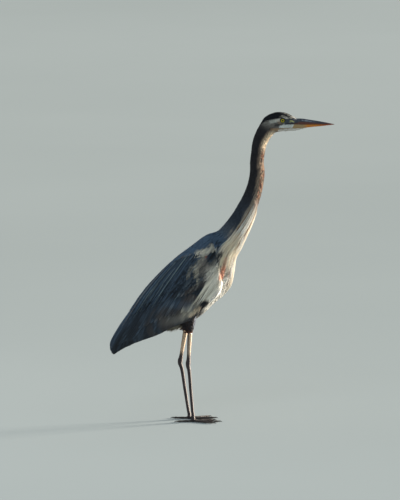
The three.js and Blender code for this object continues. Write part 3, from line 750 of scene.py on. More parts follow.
def thigh_colour(station, angle, point):
    """Dark brown, rusty at the knee and pale along the front edge."""
    blotch = mottle(station * 6, np.degrees(angle) / 20)
    base = lay_over(THIGH_BROWN, NECK_DARK, smooth(blotch, 0.2, 0.7))
    base = lay_over(base, RUST, 0.2 * (1 - smooth(station, 0.1, 0.8)))
    return stroke(base, point, (20, 396), (9, 340), 5, linear(152, 157, 170), 0.85)


def all_over(colour):
    """A colour rule that gives every feather the same colour."""
    return lambda station, angle, point: np.broadcast_to(colour, point.shape)


print("colour rules:", [rule.__name__ for rule in (trunk_colour, cloak_colour, fan_colour, thigh_colour)])

# %% [markdown]
# ## Feathers
# A real contour feather is a thin blade on a shaft. It grows out of the skin, lies back along the
# body and covers the roots of the next ones, like a roof tile. Hair curves could stand in for
# feathers, but a blade has width, thickness and a rim that catches light, so each is a flat tube of
# a few rings. Its middle line runs over the surface from a root to a tip, each ring spreads to both
# sides of that line, and a rule for the lift lets the root start under the coat and the tip lie
# on top. As all neighbours follow the same slope, they lap and don't cut through each other.


# %% How fast a surface runs, and the way across a feather
def speeds(place, station, angle):
    """The vectors that a surface moves by, per station and per radian."""
    small = 1e-3
    station = np.maximum(station, small)
    here = place(station, angle)
    along = (here - place(station - small, angle)) / small
    return along, (place(station, angle + small) - here) / small


def across_step(place, station, angle, run):
    """The step across a feather in stations and radians per mm, to the side further round."""
    along, round_ = speeds(place, station, angle)
    way = along * run[..., :1] + round_ * run[..., 1:]
    across = np.cross(way, np.cross(along, round_))
    across /= np.linalg.norm(across, axis=-1, keepdims=True)
    aa, rr = np.sum(along * along, -1), np.sum(round_ * round_, -1)
    ar = np.sum(along * round_, -1)
    ba, br = np.sum(across * along, -1), np.sum(across * round_, -1)
    scale = 1 / (aa * rr - ar * ar)
    step = np.stack([(ba * rr - br * ar) * scale, (br * aa - ba * ar) * scale], axis=-1)
    away = np.where(angle < 0, -1, 1)
    return step * np.where(step[..., 1] * away < 0, -1, 1)[..., None]


def lie(place, roots, length, turn=0.0, least=-np.inf):
    """The runs of feathers that lie back along the body, turned so far towards the belly. None
    goes further back than the least station."""
    station, angle = roots.T
    along, round_ = speeds(place, station, angle)
    back = -length * np.cos(turn) / np.linalg.norm(along, axis=-1)
    down = np.where(angle < 0, -1, 1) * length * np.sin(turn) / np.linalg.norm(round_, axis=-1)
    return np.stack([np.maximum(back, least - station), down], axis=-1)


side_root = np.array([[5.0, 1.0]])
print("20 mm back along the trunk, in stations and radians:", lie(trunk, side_root, 20).round(2)[0])


# %% Outlines of feathers, as shares of the half width from root to tip
def leaf(t):
    return mix(0.4, 1, smooth(t, 0, 0.5)) * np.sqrt(1 - 0.98 * np.clip((t - 0.5) / 0.5, 0, 1) ** 2.6)


def plume(t):
    return mix(0.5, 1, smooth(t, 0, 0.35)) * mix(1, 0.1, t**1.8)


def blade(t):
    tip = np.sqrt(1 - 0.98 * np.clip((t - 0.8) / 0.2, 0, 1) ** 2.2)
    return mix(0.5, 1, smooth(t, 0, 0.5)) * tip * mix(1, 0.72, t**4)


# where the rings of a feather have their points, as shares of the half width
SLIM = (-1, 0, 1)
LOOSE = (-1, -0.3, 0, 0.3, 1)
WIDE = (-1, -0.6, -0.09, 0, 0.09, 0.6, 1)
print("width near the tip:", [float(shape(0.9).round(2)) for shape in (leaf, plume, blade)])

# %% [markdown]
# One function makes a whole family of feathers. A feather is told by its outline and by a few
# sizes in mm: crown is how far the shaft stands over the edges, thick is the blade's thickness at
# the root and bow is how far the feather bends sideways. Shares from 0 to 1 tell how ragged its
# edge is, how light its fringe, how much painted shade darkens its root, where the next feathers
# cover it, and how much its tone varies.

# %% Colours and maps of a feather
PATCH = 0.003  # how wide a feather's own patch is on the unwrap for baking


def shaded(base, across, t, fringe, shade):
    """The colour of a feather, with painted shade at its root, where the next feathers cover it, and lighter
    along its rim.
    """
    rim = np.maximum(np.abs(across) ** 3 * smooth(t, 0.2, 0.7)[:, None], smooth(t, 0.85, 1)[:, None])
    light = 1 - shade * (1 - smooth(t, 0.1, 0.75))[:, None]
    colour = base[:, :, None, :] * light[..., None]
    return colour + fringe * rim[..., None] * (0.05 + 0.6 * colour)


def feather_maps(roots, points, across, t):
    """The place of each feather's bake patch, the patch, and how far across and along it a point is."""
    spot = np.stack([roots[:, 1] / (2 * np.pi) + 0.5, roots[:, 0]], axis=-1)
    patch = PATCH * np.stack([across * 0.5 + 0 * t[:, None], t[:, None] - 0.5 + 0 * across], axis=-1)
    centimetres = np.linalg.norm(points[:, -1, 0] - points[:, 0, 0], axis=-1)[:, None, None] / 10
    vane = np.stack([np.broadcast_to(across * 0.5 + 0.5, points.shape[:3]),
                     np.broadcast_to(t[:, None] * centimetres, points.shape[:3])], axis=-1)
    return {"spot": spot, "patch": patch, "maps": {"Vane": vane}}


print("a bake patch is", PATCH, "wide")


# %% Many feathers at once
def feathers(place, roots, runs, half, lift, colour_at, draw, rows=3, edges=SLIM, outline=leaf,
             crown=0.3, thick=0.35, bow=0.0, ragged=0.0, fringe=0.15, shade=0.3, vary=0.12,
             painted=False):
    """One part of a mesh: a flat tube for each root and run, each as station and angle. A painted
    feather takes the markings all along its shaft, a plain one only where it lies open."""
    count = len(roots)
    edges = np.array(edges, float)
    across = np.concatenate([edges, edges[-2:0:-1]])
    face = np.concatenate([[0], np.ones(len(edges) - 2), [0], -np.ones(len(edges) - 2)])
    t = 1 - (1 - np.linspace(0, 1, rows + 1)) ** 1.25
    station = roots[:, :1] + runs[:, :1] * t
    angle = roots[:, 1:] + runs[:, 1:] * t
    step = across_step(place, station, angle, runs[:, None, :])
    bends = bow * draw.normal(size=count)
    half = np.broadcast_to(half, (count,))[:, None]
    width = half * outline(t) * (1 - ragged * draw.random((count, rows + 1)))
    reach = width[..., None] * across + (bends[:, None] * np.sin(np.pi * 0.9 * t) ** 2)[..., None]
    s = station[..., None] + step[..., :1] * reach
    a = angle[..., None] + step[..., 1:] * reach
    thin = 1 - 0.7 * t[:, None]
    height = lift(s, a, t[:, None]) + (crown * (1 - np.abs(across)) + thick / 2 * face) * thin
    points = place(s, a, height)
    seen = slice(None) if painted else [np.argmin(np.abs(t - 0.7))]
    shaft = len(edges) // 2
    base = colour_at(s[:, seen, shaft], a[:, seen, shaft], points[:, seen, shaft])
    base = base * (1 + vary * draw.normal(size=(count, 1, 1)))
    colour = shaded(base, across, t, fringe, shade)
    return {"points": points, "colour": colour, **feather_maps(roots, points, across, t)}


def coat(name, parts, material, nodes=()):
    """Joins parts of feathers into one piece, with a patch for each on the skin's own unwrap."""
    spots = np.vstack([part["spot"] for part in parts])
    low, size = spots.min(0), np.maximum(np.ptp(spots, axis=0), 1e-6)
    for part in parts:
        spot = 0.01 + 0.98 * (part["spot"] - low) / size
        part["maps"] = {"OFBake": spot[:, None, None, :] + part["patch"], **part["maps"]}
    return piece(name, tube_mesh(name, parts), material, nodes)


single = feathers(trunk, side_root, lie(trunk, side_root, 20), 3.0, lambda s, a, t: 0 * s,
                  all_over(SLATE), np.random.default_rng(1))
print("points of one small feather:", single["points"][..., 0].size)


# %% Where the roots lie
FAMILIES = {"face": 1, "crest": 2, "neck": 3, "body": 4, "breast": 5, "flight": 6, "shoulder": 8,
            "scapular": 9, "tail": 10, "thigh": 11, "side": 12, "chin": 13}
SAMPLES = 80  # places on a cut across the body where its speed is measured


def dice(family, *side):
    """A family's own random draw, the same every time."""
    return np.random.default_rng([7, FAMILIES[family], *side])


def scatter(place, stations, degrees, gap_along, gap_round, draw):
    """Roots in staggered rows on a surface, about so many mm apart."""
    turns = np.radians(np.linspace(*degrees, SAMPLES))
    station, row, found = stations[0], 0, []
    while station < stations[1]:
        along, round_ = speeds(place, np.full(SAMPLES, station), turns)
        fast = np.linalg.norm(along, axis=-1)
        gaps = np.linalg.norm(round_, axis=-1)[1:] * np.diff(turns)
        length = np.concatenate([[0], np.cumsum(gaps)])
        count = max(2, int(length[-1] / gap_round))
        wanted = (np.arange(count) + 0.25 + 0.5 * (row % 2) + 0.3 * draw.normal(size=count)) / count
        angle = np.interp(wanted * length[-1], length, turns)
        kept = draw.random(count) < np.interp(angle, turns, fast) / fast.max()
        jitter = 0.25 * gap_along / fast.max() * draw.normal(size=count)
        found.append(np.stack([station + jitter, angle], axis=-1)[kept])
        station += gap_along / fast.max()
        row += 1
    return np.vstack(found)


def sloping(start, end):
    """A lift that grows from start at the root to end at the tip, in mm."""
    return lambda s, a, t: mix(start, end, t)


def varied(roots, draw):
    """A factor for the length of each feather, so that no two are alike."""
    return draw.uniform(0.85, 1.2, len(roots))


print("families of feathers:", len(FAMILIES))

# %% [markdown]
# The finish of a feather is soft and dull, with fine barbs that run slantwise from the shaft to the
# edge. The map named Vane tells how far across and along a feather a point is. The barbs are
# waves along the slant; they tint the colour a little and give a fine relief.

# %% Feather finish
BARB_INK = (0.02, 0.022, 0.026, 1.0)
SHAFT_INK = (0.03, 0.03, 0.032, 1.0)


def feather_finish(name, roughness, barbs=5.0, relief=0.25, gloss=0.2, ink=1.0):
    """barbs is how many lie on a centimetre, ink how strongly they tint the colour."""
    wire, shader, made = finish(name, Roughness=roughness, Specular_IOR_Level=gloss)
    vane = wire.node("ShaderNodeUVMap", {"uv_map": "Vane"})
    across, along = (vane.node("ShaderNodeSeparateXYZ", inputs={0: vane}, output=k) for k in (0, 1))
    out = (across - 0.5).alone("ABSOLUTE")
    waves = ((along - out * 0.8) * (barbs * 2 * math.pi)).alone("SINE") * 0.5 + 0.5
    soft = speckle(wire, 260.0, 3.0, 0.35)
    shaft = 1 - out.smooth(0.02, 0.06)
    barred = ((waves * 0.18 + soft * 0.22) * ink).blend(markings(wire), BARB_INK)
    (shaft * 0.35).blend(barred, SHAFT_INK).feed(shader, "Base Color")
    (roughness - 0.12 * waves).feed(shader, "Roughness")
    emboss(waves * 0.6 + shaft * 0.8 + soft * 0.5, shader, relief, 0.0006)
    return made


small_feather = feather_finish("small_feathers", 0.82)
long_feather = feather_finish("long_feathers", 0.66, barbs=7.0, relief=0.35, gloss=0.25)
plume_feather = feather_finish("plumes", 0.72, barbs=6.0)
white_down = feather_finish("white_down", 0.8, ink=0.3)
print("feather finishes:", [made.name for made in (small_feather, long_feather, plume_feather, white_down)])

# %% [markdown]
# ## The skin
# Under the feathers lies one skin, a few millimetres inside the solids. It is made of closed
# forms that run into each other, the trunk with neck and head, the two folded wings, the mantle,
# the thighs and the root of the tail, and Boolean unions melt them into one closed body. A remesh
# would do that too, but it would round off the fine rings that the face needs.

# %% Rings and slabs for the skin
def ring_of(place, stations, sides, lift):
    turns = np.linspace(0, 2 * np.pi, sides, endpoint=False)
    s, a = np.meshgrid(stations, turns, indexing="ij")
    return place(s, a, lift(s, a))[None]


def coat_depth(station, angle):
    """How far the skin lies under the outside of the coat."""
    depth = mix(3.2, 2.4, smooth(station, 9, 11))
    depth = mix(depth, 1.1, smooth(station, 19.5, 21))
    return -mix(depth, 0.3, smooth(station, 23.4, 24.2))


def seam(station):
    return mix(math.radians(48), math.radians(2.5), smooth(station, 2.2, 4.6))


def slab(low, high, outer, inner, stations, columns=14):
    """A closed tube under the cloak between two angle lines and two lifts."""
    share = np.linspace(0, 1, columns)
    s = np.array(stations)[:, None]
    angle = mix(low(s), high(s), share)
    over = cloak(s + 0 * angle, angle, outer(s) + 0 * angle)
    under = cloak(s + 0 * angle, angle, inner(s) + 0 * angle)
    return np.concatenate([over, under[:, ::-1]], axis=1)[None]


def core_depth(station):
    return mix(15, 3.6, smooth(station, 3.2, 7.5))


TAIL_ROOT, TAIL_TIP, TAIL_HALF = np.array([-152, 0, 358]), np.array([-266, 0, 245]), 19


def tail(t, across, lift=0.0):
    """A place on the arch of the tail; across is in mm."""
    t, across, lift = np.broadcast_arrays(*np.atleast_1d(t, across, lift))
    height = (lift - 0.006 * across**2) * math.sqrt(0.5)
    point = mix(TAIL_ROOT, TAIL_TIP, t[..., None])
    return point + np.stack([-height, across, height], axis=-1)


print("depth of the skin on trunk and head:", -coat_depth(5.0, 0), -coat_depth(22.0, 0).round(2), "mm")


# %% The forms of the skin
def wing_slab(side):
    """A folded wing, from the seam of the mantle to its lower edge."""
    return slab(lambda s: side * seam(s) * 0.8, lambda s: side * EDGE_ANGLE * 0.985,
                lambda s: mix(-6.5, -4.4, smooth(s, 0, 1)), lambda s: 1 - core_depth(s),
                np.linspace(0.06, 8.4, 70))


def tail_ring(t):
    """A flat ring across the root of the tail, 2 mm thick."""
    row = TAIL_HALF * mix(0.5, 0.7, t) * np.linspace(-1, 1, 7)
    return np.concatenate([tail(t, row, 0.0), tail(t, row[::-1], -2.0)])


trunk_stations = np.concatenate([np.arange(0, NECK_TOP, 0.15), np.linspace(NECK_TOP, 24.995, 160)])
skin_tubes = [
    ring_of(trunk, trunk_stations, 128, coat_depth),
    slab(lambda s: -seam(s), seam, lambda s: -3 - 2 * (s < 0.3), lambda s: 0 * s - 15,
         np.linspace(0.1, 4.6, 40), 30),
    *(wing_slab(side) for side in SIDES.values()),
    *(ring_of(thighs[name], np.linspace(0, 4, 40), 40, lambda s, a: 0 * s - 2.4) for name in SIDES),
    np.array([tail_ring(t) for t in np.linspace(0, 0.5, 6)])[None],
]
print("forms in the skin:", len(skin_tubes))

# %% Melt the forms into one skin
def turned_out(points):
    """The same tube, wound so that its faces look outwards."""
    ring = points[0, points.shape[1] // 2]
    middle = ring.mean(0)
    normal = np.cross(ring[1] - ring[0], points[0, points.shape[1] // 2 + 1, 0] - ring[0])
    return points if normal @ (ring[0] - middle) > 0 else points[:, :, ::-1]


forms = []
for number, points in enumerate(skin_tubes):
    mesh = tube_mesh(f"form_{number}", [{"points": turned_out(points), "colour": WHITE}])
    form = bpy.data.objects.new(mesh.name, mesh)
    bpy.context.scene.collection.objects.link(form)
    forms.append(form)
skin_form = forms[0]
for form in forms[1:]:
    union = skin_form.modifiers.new("union", "BOOLEAN")
    union.operation = "UNION"
    union.solver = "MANIFOLD"
    union.object = form
bpy.context.view_layer.update()
joined = skin_form.evaluated_get(bpy.context.evaluated_depsgraph_get())
melted = bpy.data.meshes.new_from_object(joined)
for form in forms:
    bpy.data.objects.remove(form)
print("skin points:", len(melted.vertices), "faces:", len(melted.polygons))

# %% [markdown]
# The head needs more than a smooth form: a hollow for each eye, the line of the gape, and a brow.
# A sculptor would push them in with a brush. Here they are pressed into the skin's points by
# simple rules, which give the same head every time.

# %% Sculpt the head
GAPE, MOUTH_ROOT, BILL_TIP = (311, 1050.5), (366, 1048.5), (497, 1047)


def mouth_height(x):
    """The line of the mouth, from the gape in the cheek to the tip of the bill."""
    return np.interp(x, *zip(GAPE, MOUTH_ROOT, BILL_TIP))


def read_points(mesh):
    flat = np.empty(len(mesh.vertices) * 3, np.float32)
    mesh.vertices.foreach_get("co", flat)
    return flat.reshape(-1, 3) / MM - SHIFT


def sculpt_head(points):
    x, y, z = points[:, 0], points[:, 1], points[:, 2]
    on_head = smooth(x, 296, 306) * (z > 1015)
    line = np.exp(-(((z - mouth_height(x)) / 0.9) ** 2)) * smooth(x, GAPE[0], GAPE[0] + 6)
    inwards = 1.3 * line * on_head
    from_eye = np.hypot(x - EYE[0], (z - EYE[2]) * 1.06)
    socket = mix(13.5, 18.9, smooth(from_eye, 6.6, 8.2)) + 6 * smooth(from_eye, 9, 13)
    brow = 0.9 * np.exp(-(((x - 321) / 12) ** 2) - ((z - 1072.5) / 2.6) ** 2)
    hollow = 0.9 * np.exp(-(((x - 345) / 13) ** 2) - ((z - 1057.5) / 5) ** 2)
    width = np.maximum(np.abs(y) - inwards + (brow - hollow) * (np.abs(y) > 4), 0)
    width = np.where((z > 1030) & (x > 290), np.minimum(width, socket), width)
    return np.stack([x, np.sign(y) * width, z], axis=-1)


plain_form = read_points(melted)
sculpted = sculpt_head(plain_form)
melted.vertices.foreach_set("co", framed(sculpted).astype(np.float32).ravel())
print("the head is pressed in by up to", np.abs(sculpted - plain_form).max().round(2), "mm")

# %% [markdown]
# The skin shows only between the feathers and on the bare face. Each of its points takes the
# colour of the nearest place on the surfaces that the feathers lie on, so skin and coat have the
# same markings. The bare skin between the eye and the bill has marks of its own.


# %% Colour the skin
def colour_samples():
    """Points all over the bird's surfaces with their colours."""
    found = []
    for place, last, limit, colour_at in (
        (trunk, 25, 180, trunk_colour), (cloak, 9, 122, cloak_colour),
        *((thighs[name], 4, 180, thigh_colour) for name in SIDES),
    ):
        turns = np.radians(np.linspace(-limit, limit, 90))
        s, a = np.meshgrid(np.linspace(0.01, last, 30 * last), turns)
        points = place(s.ravel(), a.ravel(), -2.0)
        found.append((points, colour_at(s.ravel(), a.ravel(), points)))
    return np.vstack([p for p, _ in found]), np.vstack([c for _, c in found])


from mathutils.kdtree import KDTree

UNDER_COAT = 0.8  # the skin is a little darker than the feathers over it
sample_points, sample_colours = colour_samples()
tree = KDTree(len(sample_points))
for number, point in enumerate(sample_points):
    tree.insert(point, number)
tree.balance()
nearest = [tree.find(point)[1] for point in sculpted]
skin_colour = UNDER_COAT * sample_colours[nearest]
x, z = sculpted[:, 0], sculpted[:, 2]
bill_foot = smooth(x - 0.5 * (z - 1041), 350, 354) * (z > 1031)
bare = np.maximum(smooth(x, 319, 325) * (z > 1048), bill_foot) * (z < 1071)
face_skin = paint(BARE_SKIN, sculpted, LORE_MARKS, 0.3)
skin_colour = mix(skin_colour, face_skin, bare[:, None])
paint_points(melted, skin_colour)
melted.shade_smooth()
print("skin coloured from", len(sample_points), "samples")

# %% Skin finish
wire, shader, skin_material = finish("skin", Roughness=0.7, Specular_IOR_Level=0.35)
pores = speckle(wire, 900.0, 4.0)
(pores * 0.25).blend(markings(wire), (0.03, 0.03, 0.03, 1.0)).feed(shader, "Base Color")
emboss(pores, shader, 0.3, 0.0004)
piece("skin", melted, skin_material,
      ("torso", "neck_lower", "neck_upper", "head", "mantle", "wing_right", "wing_left",
       "thigh_right", "thigh_left"))

# %% [markdown]
# ## Eyes and lids
# A heron's eye has a small black pupil in a bright yellow iris, with a dark line at its rim. A
# ready-made sphere would have its rings in the wrong places. This ball is a body of revolution
# about a line across the head, so a ring lies exactly where one colour ends and the next begins.
# The lids are a ring of bare skin, flatter at the top.

# %% Eyeballs
EYE_RADIUS = 8.5
SECTORS = 72
PUPIL, EYE_RIM = linear(6, 6, 8), linear(16, 13, 12)
EYE_RINGS = [  # distance from the axis, colour
    (0.05, PUPIL), (1.0, PUPIL), (2.4, PUPIL), (2.75, linear(7, 7, 8)),
    (2.9, linear(104, 84, 10)), (3.4, linear(172, 156, 16)), (4.2, linear(192, 184, 24)),
    (5.1, linear(190, 180, 28)), (5.9, linear(160, 138, 24)), (6.3, linear(88, 70, 18)),
    (6.5, linear(20, 16, 12)), (6.9, EYE_RIM), (7.6, EYE_RIM), (8.3, EYE_RIM), (8.5, EYE_RIM),
]
FAR_HALF = [6.0, 3.0, 0.05]  # rings on the half of the ball that lies in the head


def eyeball(side):
    turns = np.linspace(0, 2 * np.pi, SECTORS, endpoint=False)
    radii = np.array([r for r, _ in EYE_RINGS] + FAR_HALF)
    out = np.sqrt(EYE_RADIUS**2 - np.minimum(radii, EYE_RADIUS) ** 2)
    out[len(EYE_RINGS):] *= -1
    bulge = 0.35 * (1 - smooth(radii, 3.5, 6.0)) * (out > 0)
    x = EYE[0] + radii[:, None] * np.cos(turns)
    z = EYE[2] + radii[:, None] * np.sin(turns)
    y = side * (EYE[1] + (out + bulge)[:, None] + 0 * turns)
    colours = np.array([c for _, c in EYE_RINGS] + [EYE_RIM] * len(FAR_HALF))[:, None, :]
    fibres = 1 + 0.12 * np.sin(23 * turns + 2 * np.sin(5 * turns))[None, :, None]
    points = np.stack([x, y, z], axis=-1)[None, :, ::-side]
    return {"points": points, "colour": (colours * fibres)[None]}


wire, shader, wet = finish("wet_eye", Roughness=0.2, Specular_IOR_Level=0.2, Coat_Weight=0.35,
                           Coat_Roughness=0.02)
fibres = speckle(wire, 1800.0, 2.0) * 0.15
fibres.blend(markings(wire), (0.1, 0.05, 0.01, 1.0)).feed(shader, "Base Color")
for name, side in SIDES.items():
    piece(f"eyeball_{name}", tube_mesh(f"eyeball_{name}", [eyeball(side)]), wet, (f"eye_{name}",))

# %% Lids
LID_RADIUS = 6.75
LID_PROFILE = [  # distance outside the opening, distance from the middle of the head, brightness
    (-0.55, 18.1, 0.3), (-0.45, 19.2, 0.45), (0.1, 20.0, 0.8), (0.8, 20.2, 1), (1.6, 19.9, 1),
    (2.6, 19.1, 0.9), (4.0, 18.0, 0.8), (1.5, 15.5, 0.8),
]


def lids(side):
    """A ring of bare skin round the eye: flatter and further out at the top, yellowish below."""
    turns = np.linspace(0, 2 * np.pi, SECTORS, endpoint=False)
    off, out, bright = np.array(LID_PROFILE).T[:, None, :]
    flat = 1 - 0.09 * smooth(np.sin(turns), 0.2, 1)
    radius = (LID_RADIUS * flat)[:, None] + off
    fold = 0.14 * np.sin(turns * 26)[:, None] * (off > 0.5) * (off < 3)
    x = EYE[0] + (radius * 1.05) * np.cos(turns)[:, None]
    z = EYE[2] + radius * np.sin(turns)[:, None]
    y = side * (out + fold + 0.5 * np.maximum(np.sin(turns), 0)[:, None])
    below = smooth(-np.sin(turns), -0.2, 0.9)[:, None, None]
    tone = mix(linear(34, 36, 38), linear(104, 104, 72), below) * bright[..., None]
    points = np.stack([x, y, z], axis=-1)[None, :, ::side]
    return {"points": points, "colour": tone[None, :, ::side], "joined": True}


for name, side in SIDES.items():
    piece(f"lids_{name}", tube_mesh(f"lids_{name}", [lids(side)]), skin_material)

# %% [markdown]
# ## Bill
# The bill is a long dagger in two halves that meet along the line of the mouth. Each half is a
# tube of rings from the same oval sections as the solid, cut flat at that line. A groove runs from
# the slit of the nostril towards the tip. A Boolean cut would leave hard edges there, so the groove
# is pressed into the rings. The horn is dark slate above, reddish along the cutting edge and yellow
# below.

# %% Bill sections
BILL = [
    (366.3, 1068, 373.3, 1030, 11), (384, 1067.5, 387, 1032.5, 10), (402, 1065, 402, 1036, 8.6),
    (425, 1061.5, 425, 1038.5, 7), (447, 1058, 447, 1040.5, 5.4), (480, 1051.5, 480, 1044.5, 2.6),
    (497, 1047.8, 497, 1046.2, 0.7),
]
bill = surface(BILL)
NOSTRIL = (389, 1058.5)
print("length of the bill:", BILL_TIP[0] - MOUTH_ROOT[0], "mm")


# %% Shape of one half of the bill
def mandible(upper, rings=170, sides=30):
    """Rings round one half of the bill; the last few points of each lie flat along the mouth."""
    station = np.linspace(0.01, 5.97, rings)
    crest, keel = bill(station, 0.0), bill(station, np.pi)
    centre = (crest + keel) / 2
    depth = np.abs(crest[:, 2] - keel[:, 2]) / 2
    gap = 0.25 if upper else -0.25
    cut = np.arccos(np.clip((mouth_height(centre[:, 0]) + gap - centre[:, 2]) / depth, -1, 1))
    share = np.linspace(-1, 1, sides)
    angle = cut[:, None] * share if upper else np.pi + (np.pi - cut)[:, None] * share
    points = bill(station[:, None], angle)
    x, y, z = points[..., 0], points[..., 1], points[..., 2]
    pinch = 1 - (0.16 if upper else 0.06) * np.cos(angle) ** 2
    groove = np.exp(-(((z - mix(NOSTRIL[1], 1053.5, smooth(x, 395, 455))) / 0.9) ** 2))
    groove = groove * smooth(x, 376, 384) * (1 - smooth(x, 440, 470))
    slit = np.exp(-(((z - NOSTRIL[1]) / 0.8) ** 2 + ((x - NOSTRIL[0]) / 5) ** 4))
    inwards = (0.5 * groove + 1.7 * slit) * (1 if upper else 0)
    lip = 0.25 * np.exp(-(((z - mouth_height(x)) / 1.2) ** 2)) * (1 if upper else -1)
    y = np.sign(y) * np.maximum(np.abs(y) * pinch - inwards + lip, 0.02)
    points = np.stack([x, y, z], axis=-1)
    inner = np.linspace(0.8, -0.8, 5)[None, :, None]
    left, right = points[:, -1:], points[:, :1]
    flat = (left + right) / 2 + inner * (left - right) / 2
    rings = np.concatenate([points, flat], axis=1)
    root = mix(rings[:1].mean(axis=1, keepdims=True), rings[:1], 0.9) - [3, 0, 0]  # sunk in the skin
    return np.concatenate([root, rings])[None]


print("points on the upper half:", mandible(True)[..., 0].size)


# %% Colours of the bill
def bill_colour(points, upper):
    """The colours of the face at the root, and then those of the horn."""
    skin = paint(BARE_SKIN, points, LORE_MARKS, 0.3)
    return mix(skin, horn_colour(points, upper), smooth(points[..., 0], 366, 382)[..., None])


def horn_colour(points, upper):
    """Dark slate over a maroon cutting edge above, with painted highlights near the root and painted shade in
    the nostril, tan and then orange-yellow below.
    """
    x, z = points[..., 0], points[..., 2]
    above = (z - mouth_height(x)) / mix(20, 1.5, smooth(x, 366, 497))
    to_tip = smooth(x, 446, 492)
    if upper:
        base = mix(linear(92, 44, 32), linear(44, 50, 64), smooth(above, 0.3, 0.6)[..., None])
        # painted highlight: pale blue glints along the top of the upper half
        ridge = np.interp(x, [366, 440], [1064.5, 1055])
        painted_glint = np.exp(-(((z - ridge) / 1.6) ** 2)) * (1 - smooth(x, 392, 440))
        painted_glint = 0.8 * painted_glint * smooth(mottle(x / 7, z / 2), 0.35, 0.6)
        base = mix(base, linear(172, 184, 198), painted_glint[..., None])
        base = mix(base, linear(104, 50, 30), 0.85 * to_tip[..., None])
        # painted shade: near black in the slit of the nostril
        dark = np.exp(-(((z - NOSTRIL[1]) / 0.9) ** 2 + ((x - NOSTRIL[0]) / 5.5) ** 4))
        return mix(base, linear(10, 9, 9), 0.95 * dark[..., None])
    base = mix(TAN, linear(204, 120, 10), smooth(x, 384, 408)[..., None])
    base = mix(base, linear(170, 70, 18), smooth(x, 426, 480)[..., None])
    return mix(base, linear(92, 50, 34), 0.5 * smooth(above, -0.16, -0.02)[..., None])


near_tip = np.array([[460.0, 0, 1052]])
print("horn near the tip, as light:", horn_colour(near_tip, True)[0].round(2))

# %% Finish of the horn
wire, shader, horn = finish("horn", Roughness=0.38, Specular_IOR_Level=0.5)
where = wire.node("ShaderNodeTexCoord", output=3)
long_grain = wire.node("ShaderNodeMapping", inputs={"Vector": where, "Scale": (60.0, 900.0, 900.0)})
layers = speckle(wire, 1.0, 5.0, Vector=long_grain)
(layers * 0.3).blend(markings(wire), (0.03, 0.022, 0.018, 1.0)).feed(shader, "Base Color")
(0.3 + 0.2 * layers).feed(shader, "Roughness")
emboss(layers, shader, 0.25, 0.0003)
for name, upper in (("upper", True), ("lower", False)):
    points = mandible(upper)
    mesh = tube_mesh(f"{name}_mandible", [{"points": points, "colour": bill_colour(points, upper)}])
    piece(f"{name}_mandible", mesh, horn, (f"bill_{name}",))

# %% [markdown]
# ## Legs
# A wader's leg below the feathers is bare and scaly: broad plates down the front of the tarsus and
# over each toe, and fine net-like scales elsewhere. A limb is rings along a smooth line; the
# plates are real steps in the rings, and the fine scales are relief in the finish.

# %% Limbs and their plates
def limb(stations, step, sides, relief=None):
    """Rings along stations of x, y, z, radius along and radius across, every step mm."""
    follow = curve_through(stations)
    fine = follow(np.linspace(0, len(stations) - 1, 1500))
    run = np.concatenate([[0], np.cumsum(np.linalg.norm(np.diff(fine[:, :3], axis=0), axis=1))])
    distance = np.linspace(0, run[-1], max(3, int(run[-1] / step)))
    rows = np.stack([np.interp(distance, run, fine[:, k]) for k in range(5)], axis=-1)
    way = np.gradient(rows[:, :3], axis=0)
    way /= np.linalg.norm(way, axis=1, keepdims=True)
    upright = np.abs(way[:, 2:]) > 0.6
    first = np.where(upright, [1.0, 0, 0], [0, 0, 1.0])
    first = first - way * np.sum(first * way, axis=1, keepdims=True)
    first /= np.linalg.norm(first, axis=1, keepdims=True)
    second = np.cross(way, first)
    turns = np.linspace(0, 2 * np.pi, sides, endpoint=False)
    more = relief(distance[:, None], turns[None, :]) if relief else 0 * distance[:, None] * turns
    along = (rows[:, 3:4] + more) * np.cos(turns)
    across = (rows[:, 4:5] + more) * np.sin(turns)
    points = rows[:, None, :3] + first[:, None] * along[..., None] + second[:, None] * across[..., None]
    return points[None], distance, turns


def plates(length, height=0.32):
    """Overlapping plates on the front of a limb, each so long, as steps in its radius."""
    def relief(distance, turns):
        front = smooth(np.cos(turns), 0.1, 0.6)
        saw = (distance / length + 0.12 * np.sin(turns * 2)) % 1
        rear = 0.12 * np.sin(distance * 2.4 + 3 * np.sin(turns * 5)) * (1 - front)
        return height * (front * (smooth(saw, 0, 0.82) - 1.3 * smooth(saw, 0.86, 1)) - 0.2) + rear
    return relief


straight, *_ = limb([(0, 0, 0, 5, 5), (0, 0, 50, 5, 5), (0, 0, 100, 5, 5)], 1.0, 8)
print("rings on a straight limb of 100 mm:", straight.shape[1])

# %% Colours of a leg
def leg_colour(distance, turns, shin_end, outwards):
    """Pale on the shin towards the other leg and purple-brown elsewhere, with a painted highlight down the
    front and painted shade at the rear of the shin's outer side.
    """
    grain = mottle(distance[:, None] * 0.35, np.degrees(turns) / 30)[..., None]
    dark = mix(linear(40, 30, 38), linear(64, 50, 52), grain)
    pale = mix(linear(250, 226, 190), linear(224, 186, 156), grain)
    # painted highlight: a pale stripe down the front of the whole leg, where the low sun strikes it
    front = 0.25 * smooth(np.cos(turns), 0.6, 1.0)
    rear = smooth(-np.cos(turns), -0.2, 0.5)
    upper = (1 - smooth(distance, shin_end - 30, shin_end - 2))[:, None]
    # painted shade: the rear of the shin's outer side turns dark
    upper = upper * (1 - 0.85 * rear * smooth(outwards, -0.1, 0.5))
    return mix(dark, pale, np.maximum(front, upper)[..., None])[None]


def toe_colour(distance, turns):
    grain = mottle(distance[:, None] * 0.5, np.degrees(turns) / 40)[..., None]
    sole = smooth(-np.cos(turns), 0.3, 0.9)[None, :, None]
    return mix(mix(linear(50, 42, 42), linear(80, 68, 60), grain), linear(124, 110, 84), 0.7 * sole)[None]


